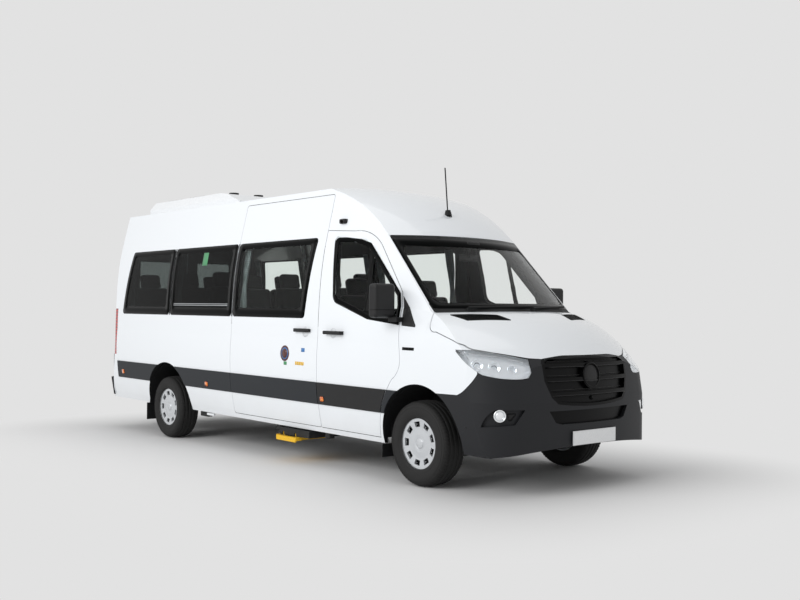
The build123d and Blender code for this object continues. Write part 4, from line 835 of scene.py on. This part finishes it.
def seatForms(pads, frames, x, y, top, width, plinth):
    # pads and frame of one seat, whose cushion's crown lies at height top
    behind, below = seat["cushionAt"]
    cushion = bodyToRow @ Matrix.Translation(Vector((x - behind, y, top - below)) / 1000)
    softBlock(pads, cushion, (seat["cushion"][0], width, seat["cushion"][1]), 34, 12)
    pivotBehind, pivotBelow = seat["pivotAt"]
    lean = (bodyToRow @ Matrix.Translation(Vector((x - pivotBehind, y, top - pivotBelow)) / 1000)
            @ Matrix.Rotation(math.radians(-seat["recline"]), 4, "Y"))
    forward = Matrix.Rotation(math.radians(90), 4, "Y")
    softBlock(pads, lean @ Matrix.Translation((0.004, 0, seat["backUp"] / 1000)) @ forward,
              (seat["back"][0], width, seat["back"][1]), 42, 14)
    softBlock(pads, lean @ Matrix.Translation((0, 0, seat["headUp"] / 1000)) @ forward, seat["head"], 36, 8, 10)
    rows = []
    for out, high in seat["shell"]:
        points = [(out - 3 * math.cos(math.pi * k / 6), (k / 3 - 1) * (width / 2 - seat["shellInset"]), high)
                  for k in range(7)]
        rows.append([frames.verts.new(lean @ (Vector(p) / 1000)) for p in points])
    joinRows(frames, rows, closed=False)
    for hand in (-1, 1):
        foot = (0, hand * seat["postY"] / 1000, seat["postUp"] / 1000)
        turnedForm(frames, [(7, 0), (7, 60)], lean @ Matrix.Translation(foot), 12)
    low, under = seat["floor"], top - seat["under"]
    middle, tall = (low + under) / 2, under - low
    if plinth:
        long, narrower = seat["plinth"]
        addBlock(frames, (x - seat["plinthBack"], y, middle), (long, width - narrower, tall))
        return
    for hand in (-1, 1):
        legY = y + hand * (width / 2 - seat["legInset"])
        for reach in seat["legs"]:
            addBlock(frames, (x + reach, legY, middle), (*seat["leg"], tall))
        addBlock(frames, (x - behind, legY, low + 12), seat["runner"])
    long, narrower, high = seat["bearer"]
    addBlock(frames, (x - behind, y, top - seat["bearerDown"]), (long, width - narrower, high))


def addSeats(label, node, places, top, width, plinth):
    pads, frames = bmesh.new(), bmesh.new()
    for x, y in places:
        seatForms(pads, frames, x, y, top, width, plinth)
    padPiece = addForm(label + "Pads", pads, node, seatClothShaded)
    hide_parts(node)
    addForm(label + "Frames", frames, node, trimPlastic, False)


addSeats("frontSeat", "front_seats", [(-830, -440), (-830, 440)], 985, 480, True)
rows = [(-2150, (210, 665))] + [(x, (-665, 210, 665)) for x in (-2960, -3770, -4750)]
addSeats("passengerSeat", "passenger_seats", [(x, y) for x, ys in rows for y in ys], 1085, 430, False)

print("stage: curtains")
# gathered cloth, drawn in to its tie a little below mid height; places are (x, width), and wall points are
# (height, half width of the cabin)
curtain = {"places": [(-1620, 120), (-2790, 110), (-3020, 110), (-4180, 100), (-4370, 100), (-5380, 110)],
           "low": 1362, "top": 2056, "folds": 5, "depth": 9, "thick": 1.2, "columns": 60, "levels": 22,
           "pinch": 0.42, "tieAt": 0.42, "tieSpread": 0.2, "offWall": 16,
           "wall": [(1150, 950), (1600, 929), (1805, 907), (2005, 873), (2515, 742)]}


def wallFace(z):
    for (lowZ, lowY), (highZ, highY) in zip(curtain["wall"], curtain["wall"][1:]):
        if z <= highZ:
            return lowY + (highY - lowY) * (z - lowZ) / (highZ - lowZ)
    return curtain["wall"][-1][1]


for side, hand in sides:
    for number, (middle, width) in enumerate(curtain["places"]):
        form = bmesh.new()
        grid = []
        shift = random.uniform(0, 6)
        for j in range(curtain["levels"] + 1):
            t = j / curtain["levels"]
            z = curtain["low"] + (curtain["top"] - curtain["low"]) * t
            pinch = 1 - curtain["pinch"] * math.exp(-((t - curtain["tieAt"]) / curtain["tieSpread"]) ** 2)
            line = []
            for i in range(curtain["columns"] + 1):
                s = i / curtain["columns"]
                wave = (math.sin(2 * math.pi * curtain["folds"] * s + shift)
                        + 0.3 * math.sin(9 * s + 5 * t + shift))
                depth = curtain["depth"] * (0.75 + 0.35 * pinch) * wave
                x = middle + (s - 0.5) * width * pinch
                y = hand * (wallFace(z) - curtain["offWall"] + depth * 0.9)
                line.append(form.verts.new(at(x, y, z)))
            grid.append(line)
        joinRows(form, grid, closed=False)
        area = sum(f.calc_area() for f in form.faces)
        piece = addForm(f"curtain_{side}_{number}", form, "curtains", curtainCloth)
        addThickness(piece, curtain["thick"])
        high = (curtain["top"] - curtain["low"]) / 1000
        if side == "right" and number == 0:
            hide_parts("curtains")

print("stage: nose")
hoodGrid = {"corners": [(140, 790), (315, 400), (460, 360), (310, 730)], "corner": 14,
            "slats": 12, "dashes": 12, "dashShare": 0.9, "slatHalf": 2.4, "tilt": 2.2}
for side, hand in sides:
    corners = [(u, hand * v) for u, v in hoodGrid["corners"]]
    addPatch("hoodGrid_" + side, "hood", "top", roundedLoop(corners, hoodGrid["corner"], 4, 8), mattPlastic,
             40, 0.6, 1.0)
    form = bmesh.new()
    half, tilt, dashes = hoodGrid["slatHalf"], hoodGrid["tilt"], hoodGrid["dashes"]
    for k in range(1, hoodGrid["slats"]):
        t = k / hoodGrid["slats"]
        a, b = Vector(corners[0]).lerp(Vector(corners[3]), t), Vector(corners[1]).lerp(Vector(corners[2]), t)
        for n in range(dashes):
            p = a.lerp(b, 0.03 + 0.94 * n / dashes)
            q = a.lerp(b, 0.03 + 0.94 * (n + hoodGrid["dashShare"]) / dashes)
            form.faces.new([form.verts.new((c.x + d, c.y, h)) for c, d, h in
                            ((p, -half, 0), (q, -half, 0), (q, half, tilt), (p, half, tilt))])
    laidForm("hood", "top", form, 1.6)
    addThickness(addForm("hoodSlats_" + side, form, "hood", grilleGloss, False), 1.0)

# headlamps: three turned cups with projectors and a light blade on each bowl
headlamp = {"cups": [(-215, 1010, 44), (-85, 990, 44), (50, 975, 34)],
            "projector": [(9, 0), (13, 4), (12, 10), (7, 14), (0.5, 15)],
            "blade": [(-350, 1108), (-60, 1085), (140, 1040), (140, 1026), (-60, 1068), (-350, 1094)]}
for side, hand in sides:
    for number, (u, v, size) in enumerate(headlamp["cups"]):
        hit, normal = onSurface("headlamp_bowls", side + "Corner", u, v)
        outward = (along(0.7071, hand * 0.7071, 0) + normal * 0.4).normalized()
        cup = facing(hit + outward * 0.001, outward)
        profile = [(size * 0.16, -6), (size * 0.3, -4), (size * 0.75, 4), (size, 15),
                   (size + 4, 15), (size + 4, 0)]
        addTurned(f"reflector_{side}_{number}", profile, cup, "headlamp_bowls", reflector, 40, True)
        addTurned(f"projector_{side}_{number}", headlamp["projector"], cup, "headlamp_bowls", lampCover, 24)
    addPatch("dayLightBlade_" + side, "headlamp_bowls", side + "Corner", headlamp["blade"], plateWhite,
             40, 2.0, 3.0)

# grille: raised edges on the bars, a bare boss and a small camera
grille = {"bars": (790, 900, 1010), "half": 470, "narrowing": 0.25, "edges": (("low", -22), ("top", 22)),
          "edgeHigh": 9, "bossZ": 925, "cameraZ": 745,
          "ring": [(86, -2), (88, 6), (94, 8), (101, 6), (104, -2)],
          "disc": [(0.5, 5), (50, 4), (82, 1), (84, -2)],
          "camera": [(0.5, 12), (9, 11), (12, 8), (16, 8), (18, 0)]}
for number, z in enumerate(grille["bars"]):
    half = grille["half"] - abs(z - grille["bars"][1]) * grille["narrowing"]
    for label, up in grille["edges"]:
        low, high = z + up, z + up + grille["edgeHigh"]
        addPatch(f"grilleBar_{number}_{label}", "grille", "front",
                 [(-half, low), (half, low), (half, high), (-half, high)], trimPlastic, 60, 2.0, 4.0)
boss = facing(onSurface("grille", "front", 0, grille["bossZ"])[0], along(1, 0, 0.1))
addTurned("bossRing", grille["ring"], boss, "grille", grilleGloss, 64, True)
addTurned("bossDisc", grille["disc"], boss, "grille", trimPlastic, 64)
eye = facing(onSurface("grille", "front", 0, grille["cameraZ"])[0], along(1, 0, 0))
addTurned("noseCamera", grille["camera"], eye, "grille", fritGlass, 32)

# fog lamps: bright ring, lens and the facet beside it; a parking sensor stands behind each
fogLamp = {"place": (818, 876, 638), "ring": [(36, 0), (38, 9), (43, 12), (48, 8), (49, -8)],
           "lens": [(0.5, 10), (20, 8), (37, 3), (37, -6)],
           "facet": [(10, 655), (88, 657), (48, 598), (24, 598)]}
parkSensor = {"place": (558, 536), "profile": [(0.5, 2.5), (8, 2.2), (10, 0.5), (11, -2)]}
for side, hand in sides:
    x, y, z = fogLamp["place"]
    place = facing(at(x, hand * y, z), along(0.8, hand * 0.6, 0.0))
    addTurned("fogRing_" + side, fogLamp["ring"], place, "front_bumper", reflector, hollow=True)
    # the fog lamp lens takes the bowls' white finish, a painted reflection
    addTurned("fogLens_" + side, fogLamp["lens"], place, "front_bumper", paintedShineReflector)
    addPatch("fogFacet_" + side, "front_bumper", side + "Corner", roundedLoop(fogLamp["facet"], 8, 3, 4),
             trimPlastic, 30, 1.0, 2.0)
    spot = facing(*onSurface("front_bumper", side, *parkSensor["place"]))
    addTurned("parkSensor_" + side, parkSensor["profile"], spot, "front_bumper", trimPlastic, 24)
addBlocks("plateFace", [((1017.5, 0, 443), (1, 508, 98))], "front_plate", plateWhite)

print("stage: side details")
yellowFilm = printedVinyl("filmYellow", "#f3c02b", "#dcae27")
greenFilm = printedVinyl("filmGreen", "#4a9a66", "#3d8759")
blueFilm = printedVinyl("filmBlue", "#3f7fc0", "#2f6aa8")
brownFilm = printedVinyl("filmBrown", "#5c2c24", "#3f1f1a")
mirrorSilver = vapourAluminium("mirrorSilver", "#dfe3e6")
# the cups are body paint; their grey is painted shade in the recess
cupPaintedShade = gelcoat("cupPaintedShade", "#d3d7db")
guardSilver = silverPaintedPlastic("guardSilver", "#b9bdc0", "#9a9ea2")
screenGlow = printedVinyl("screenFace", "#1c2830", "#24323b")

# black covers on the posts between panes, the guard bar's two lines and the plain label of the middle pane
post = {"low": 1339, "top": 2086, "seam": (-4277, -4273, 1345, 2080),
        "covers": [("right", "side_frame_right", -2914, -2903), ("right", "sliding_door", -2894.5, -2886),
                   ("left", "side_frame_left", -2914, -2886), ("right", "side_frame_right", -4287, -4263),
                   ("left", "side_frame_left", -4287, -4263)]}
guardBar = {"front": -3000, "rear": -4180, "lines": (1446, 1462), "high": 7}


def stripLoop(lowU, highU, lowV, highV):
    return [(lowU, lowV), (highU, lowV), (highU, highV), (lowU, highV)]


for number, (side, node, low, high) in enumerate(post["covers"]):
    addPatch(f"postCover_{side}_{number}", node, side, stripLoop(low, high, post["low"], post["top"]),
             fritGlass, 90, 0.4, 1.0)
for side, _ in sides:
    addPatch("postSeam_" + side, "side_frame_" + side, side, stripLoop(*post["seam"]), stripPlastic,
             90, 1.2, 1.0)
    for low in guardBar["lines"]:
        addPatch(f"guardBar_{side}_{low}", "side_windows", side,
                 stripLoop(guardBar["rear"], guardBar["front"], low, low + guardBar["high"]),
                 guardSilver, 60, 0.5, 3.0)
addPatch("greenLabel", "side_windows", "right", boxLoop(-3615, 1880, -3510, 2020, 6), greenFilm,
         50, 0.5, 0.5)

# plain labels on the sliding door, each with its height above the paint
yellowBars = {"x": -1712, "pitch": 29, "wide": 25, "low": 901, "top": 933, "count": 5}
stickers = [
    ("roundLabel", circleLoop(-1890, 1002, 75), brownFilm, 0.5),
    ("roundLabelRing", circleLoop(-1890, 1002, 56), blueFilm, 1.0),
    ("roundLabelCore", circleLoop(-1890, 1002, 46), brownFilm, 1.5),
    ("greenPatch", boxLoop(-1905, 893, -1852, 925, 4), greenFilm, 0.5),
    ("bluePatch", boxLoop(-1618, 1026, -1562, 1062, 4), blueFilm, 0.5),
]
for k in range(yellowBars["count"]):
    low = yellowBars["x"] + k * yellowBars["pitch"]
    loop = boxLoop(low, yellowBars["low"], low + yellowBars["wide"], yellowBars["top"], 3)
    stickers.append((f"yellowBar_{k}", loop, yellowFilm, 0.5))
for name, loop, film, lift in stickers:
    addPatch(name, "sliding_door", "right", loop, film, 40, lift, 0.4)

# amber side markers, each in its bezel; the first sits on the door's moulding
marker = {"places": [(-1293, 612, 52, 42), (-3400, 612, 58, 48), (-5446, 634, 58, 48)],
          "corner": 12, "bezel": 5, "bezelCorner": 15}
for number, (u, v, wide, high) in enumerate(marker["places"]):
    for side, _ in sides:
        carrier = "side_mouldings" if number else "door_trim_" + side
        rim = 2 * marker["bezel"]
        addPatch(f"markerBezel_{side}_{number}", carrier, side,
                 centredLoop(u, v, wide + rim, high + rim, marker["bezelCorner"]), mattPlastic, 30, 0.6, 1.6)
        addPatch(f"marker_{side}_{number}", carrier, side, centredLoop(u, v, wide, high, marker["corner"]),
                 amberLens, 30, 3.0, 4.0)

# dished cups behind the handles, drawn grey as painted shade in their hollow, lock barrels, and the dark strip
# on each fender
handle = {"cup": (-1135, 1212, 46), "lock": (-1260, 1212, 13), "strip": (-190, 1098, -47, 1122, 5),
          "slideCup": (-1565, 1214, 50), "slideZ": 1227, "slideX": -1604, "feetX": (-1712, -1497)}
for side, _ in sides:
    door = "door_" + side
    addPatch("handleCup_" + side, door, side, circleLoop(*handle["cup"]), cupPaintedShade, 30)
    addPatch("lockBarrel_" + side, door, side, circleLoop(*handle["lock"]), mirrorSilver, 30, 0.6, 2.0)
    addPatch("fenderBadge_" + side, "fenders", side, boxLoop(*handle["strip"]), grilleGloss, 30, 0.6, 2.5)
addPatch("slideHandleCup", "sliding_door", "right", circleLoop(*handle["slideCup"]), cupPaintedShade, 30)
wallY, slideZ = wallFace(handle["slideZ"]), handle["slideZ"]
grip = ((handle["slideX"], -(wallY + 72), slideZ), (245, 22, 34))
feet = [((x, -(wallY + 58), slideZ), (30, 30, 28)) for x in handle["feetX"]]
addBlocks("slideHandle", [grip] + feet, "sliding_door", trimPlastic, 8)

# seam round the charge flap on the left side
chargeFlap = {"corners": [(-5350, 1050), (-5130, 1050), (-5130, 1250), (-5350, 1250)], "corner": 30, "seam": 5}
seam = chargeFlap["seam"]
innerCorners = [(u + (seam if u < -5240 else -seam), v + (seam if v < 1150 else -seam))
                for u, v in chargeFlap["corners"]]
form = ringForm(roundedLoop(chargeFlap["corners"], chargeFlap["corner"], 6, 8),
                roundedLoop(innerCorners, chargeFlap["corner"] - 4, 6, 8))
laidForm("side_frame_left", "left", form, 0.2)
addThickness(addForm("chargeFlapSeam", form, "side_frame_left", mattPlastic), 0.6)

# mirrors: two panes behind the housing and the seam above the lower arm; panes are (height of middle, height)
mirror = {"panes": ((1530, 190), (1398, 52)), "x": -421.5, "y": 1064, "wide": 180, "corner": 22,
          "seam": (-420, 957, -310, 1172, 30), "seamZ": (1425, 1430),
          "seamOut": 0.8, "seamMiddle": (-365, 1064)}
for side, hand in sides:
    node = "door_trim_" + side
    form = bmesh.new()
    for z, high in mirror["panes"]:
        form.faces.new([form.verts.new(at(mirror["x"], hand * (mirror["y"] + u), z + v))
                        for u, v in centredLoop(0, 0, mirror["wide"], high, mirror["corner"])])
    addThickness(addForm("mirrorGlass_" + side, form, node, mirrorSilver, False), 2.0)
    form = bmesh.new()
    out, (middleU, middleV) = mirror["seamOut"], mirror["seamMiddle"]
    ring = [(u + (out if u > middleU else -out), hand * (v + (out if v > middleV else -out)))
            for u, v in boxLoop(*mirror["seam"])]
    joinRows(form, [[form.verts.new(at(x, y, z)) for x, y in ring] for z in mirror["seamZ"]])
    addThickness(addForm("mirrorSeam_" + side, form, node, grilleGloss), 0.8)

print("stage: step and underside")
step = {"x": -1876, "ribs": 9, "firstRib": 720, "pitch": 30, "capsX": (-2038, -1714)}
addBlocks("stepRibs", [((step["x"], -(step["firstRib"] + k * step["pitch"]), 216.5), (296, 10, 3))
                       for k in range(step["ribs"])], "step_tread", rubber)
addBlocks("stepEndCaps", [((x, -960, 202), (10, 76, 36)) for x in step["capsX"]], "step_tread", yellowCoat, 4)
addBlocks("sillBracket", [((-3620, -870, 272), (160, 60, 60)), ((-3560, -895, 258), (90, 16, 26))],
          "chassis_rails", frameSteel, 5)
addBlocks("sillJackPad", [((-3470, -900, 276), (150, 20, 26))], "side_frame_right", cover, 4)
addBlocks("sillStays", [((x, hand * 880, 272), (70, 60, 56)) for hand in (-1, 1) for x in (-1330, -2140)],
          "chassis_rails", frameSteel, 6)
# ribs under the battery, from its rear end forward, stopping short of the drive unit
battery = {"ribs": 14, "start": 160, "shortOf": 1500, "rib": (12, 620, 10)}
base, top = [Vector(c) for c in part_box("drive_units")]
run = top.x - battery["shortOf"] / 1000 - base.x
form = bmesh.new()
for k in range(battery["ribs"]):
    x = base.x + battery["start"] / 1000 + k * run / battery["ribs"]
    addCube(form, Matrix.Translation((x, 0, base.z + 0.001)), battery["rib"])
addForm("batteryRibs", form, "drive_units", castAluminium("ribCasting", "#6f7276"), False)

print("stage: cabin")
addBlocks("roomMirror", [((-398, 0, 2010), (60, 150, 60)), ((-430, 0, 1945), (24, 24, 90)),
                         ((-452, 0, 1900), (26, 240, 66))], "dashboard", trimPlastic, 10)
addBlocks("clusterHood", [((-470, 440, 1345), (200, 380, 90))], "dashboard", dashPlastic, 34, 5)
addBlocks("displays", [((-574, 440, 1330), (6, 300, 60)), ((-566, 20, 1240), (8, 250, 150))],
          "dashboard", screenGlow)
addBlocks("airOutlets", [((-578, y, 1190 + 14 * k), (10, 100, 5)) for y in (-690, -560, 190, 700)
                         for k in range(5)], "dashboard", mattPlastic)
addBlocks("dashPad", [((-300, -430, 1330), (360, 420, 8))], "dashboard", trimPlastic, 4)
steeringHub = {"place": (-690, 440, 1180), "axis": (-0.53, 0, 0.85), "spokes": (0, 120, 240),
               "boss": [(0.5, 30), (40, 29), (62, 24), (68, 10), (60, -20), (0.5, -24)], "spoke": (130, 36, 16)}
hubPlace = facing(at(*steeringHub["place"]), along(*steeringHub["axis"]))
form = bmesh.new()
turnedForm(form, steeringHub["boss"], hubPlace, 40)
for angle in steeringHub["spokes"]:
    turn = Matrix.Rotation(math.radians(angle + 90), 4, "Z")
    addCube(form, hubPlace @ turn @ Matrix.Translation((0.115, 0, 0.012)), steeringHub["spoke"])
addBevel(addForm("wheelBoss", form, "steering_wheel", trimPlastic), 4)
# lamp strips under the roof and the mat down the aisle
addBlocks("lampStrips", [((-3300, y, 2524), (3600, 60, 16)) for y in (-560, 560)],
          "roof_panel", plateWhite, 6)
addBlocks("aisleMat", [((-3300, 0, 644), (4100, 380, 4)), ((-1400, 0, 644), (700, 360, 4))],
          "floor_pan", rubber)

print("stage: roof and rear")
pod = {"middle": (-1191, -846, 2224), "size": (86, 52, 44), "lensAt": (-1191, -872, 2218),
       "lens": [(17, -6), (18, 2), (14, 6), (9, 7), (0.5, 8)]}
addBlocks("cameraPod", [(pod["middle"], pod["size"])], "side_frame_right", trimPlastic, 12, 4)
addTurned("cameraLens", pod["lens"], facing(at(*pod["lensAt"]), along(0, -1, -0.4)), "side_frame_right",
          fritGlass, 32)
mast = {"place": (-713, 0), "boot": [(34, -14), (34, 4), (31, 14), (27, 34), (24, 47)]}
mastFoot = facing(onSurface("roof_panel", "top", *mast["place"])[0], along(-0.1, 0, 1))
addTurned("mastBoot", mast["boot"], mastFoot, "roof_fittings", mattPlastic, 40, True)

cooler = {"fansX": (-5100, -4550), "gridY": 420, "grid": (360, 180, 24), "outletX": -5484,
          "outletsZ": (2590, 2566), "outlets": 12,
          "fan": [(205, -2), (207, 6), (192, 9), (188, 3), (60, 3), (50, 8), (0.5, 9)]}
addBlocks("coolerOutlets", [((cooler["outletX"], -460 + k * 84, z), (8, 70, 12))
                            for k in range(cooler["outlets"]) for z in cooler["outletsZ"]],
          "roof_aircon", mattPlastic)
for side, hand in sides:
    for number, x in enumerate(cooler["fansX"]):
        addPatch(f"coolerGrid_{side}_{number}", "roof_aircon", "top",
                 centredLoop(x, hand * cooler["gridY"], *cooler["grid"]), mattPlastic, 60, 0.6, 2.0)
for number, x in enumerate(cooler["fansX"]):
    place = facing(onSurface("roof_aircon", "top", x, 0)[0], Vector((0, 0, 1)))
    addTurned(f"fanShroud_{number}", cooler["fan"], place, "roof_aircon", mattPlastic)

rearDoor = {"hingesZ": (930, 1290, 1980), "hingeY": 772, "hinge": (70, 50, 20),
            "handleAt": (-90, 1180), "handle": (50, 160, 24), "plate": (100, 845, 620, 955, 8)}
for side, hand in sides:
    node = "rear_door_" + side
    form = bmesh.new()
    for z in rearDoor["hingesZ"]:
        addCube(form, facing(*onSurface(node, "rear", hand * rearDoor["hingeY"], z)), rearDoor["hinge"])
    addBevel(addForm("rearHinges_" + side, form, node, trimPlastic), 5)
hit, normal = onSurface("rear_door_right", "rear", *rearDoor["handleAt"])
form = bmesh.new()
addCube(form, facing(hit + normal * 0.012, normal), rearDoor["handle"])
addBevel(addForm("rearHandle", form, "rear_door_right", trimPlastic), 6)
addPatch("rearPlate", "rear_door_left", "rear", boxLoop(*rearDoor["plate"]), plateWhite, 60, 1.0, 3.0)

# tail lamps: red, amber, clear and red cells from the bottom up
tailLamp = {"y": 905, "half": 48, "corner": 8,
            "cells": [(858, 1010, redLens), (1016, 1120, amberLens), (1126, 1200, plateWhite),
                      (1206, 1386, redLens)]}
for side, hand in sides:
    for number, (low, high, lens) in enumerate(tailLamp["cells"]):
        middle = hand * tailLamp["y"]
        loop = boxLoop(middle - tailLamp["half"], low, middle + tailLamp["half"], high, tailLamp["corner"])
        addPatch(f"tailCell_{side}_{number}", "tail_lamps", "rear", loop, lens, 40, 0.6, 2.5)
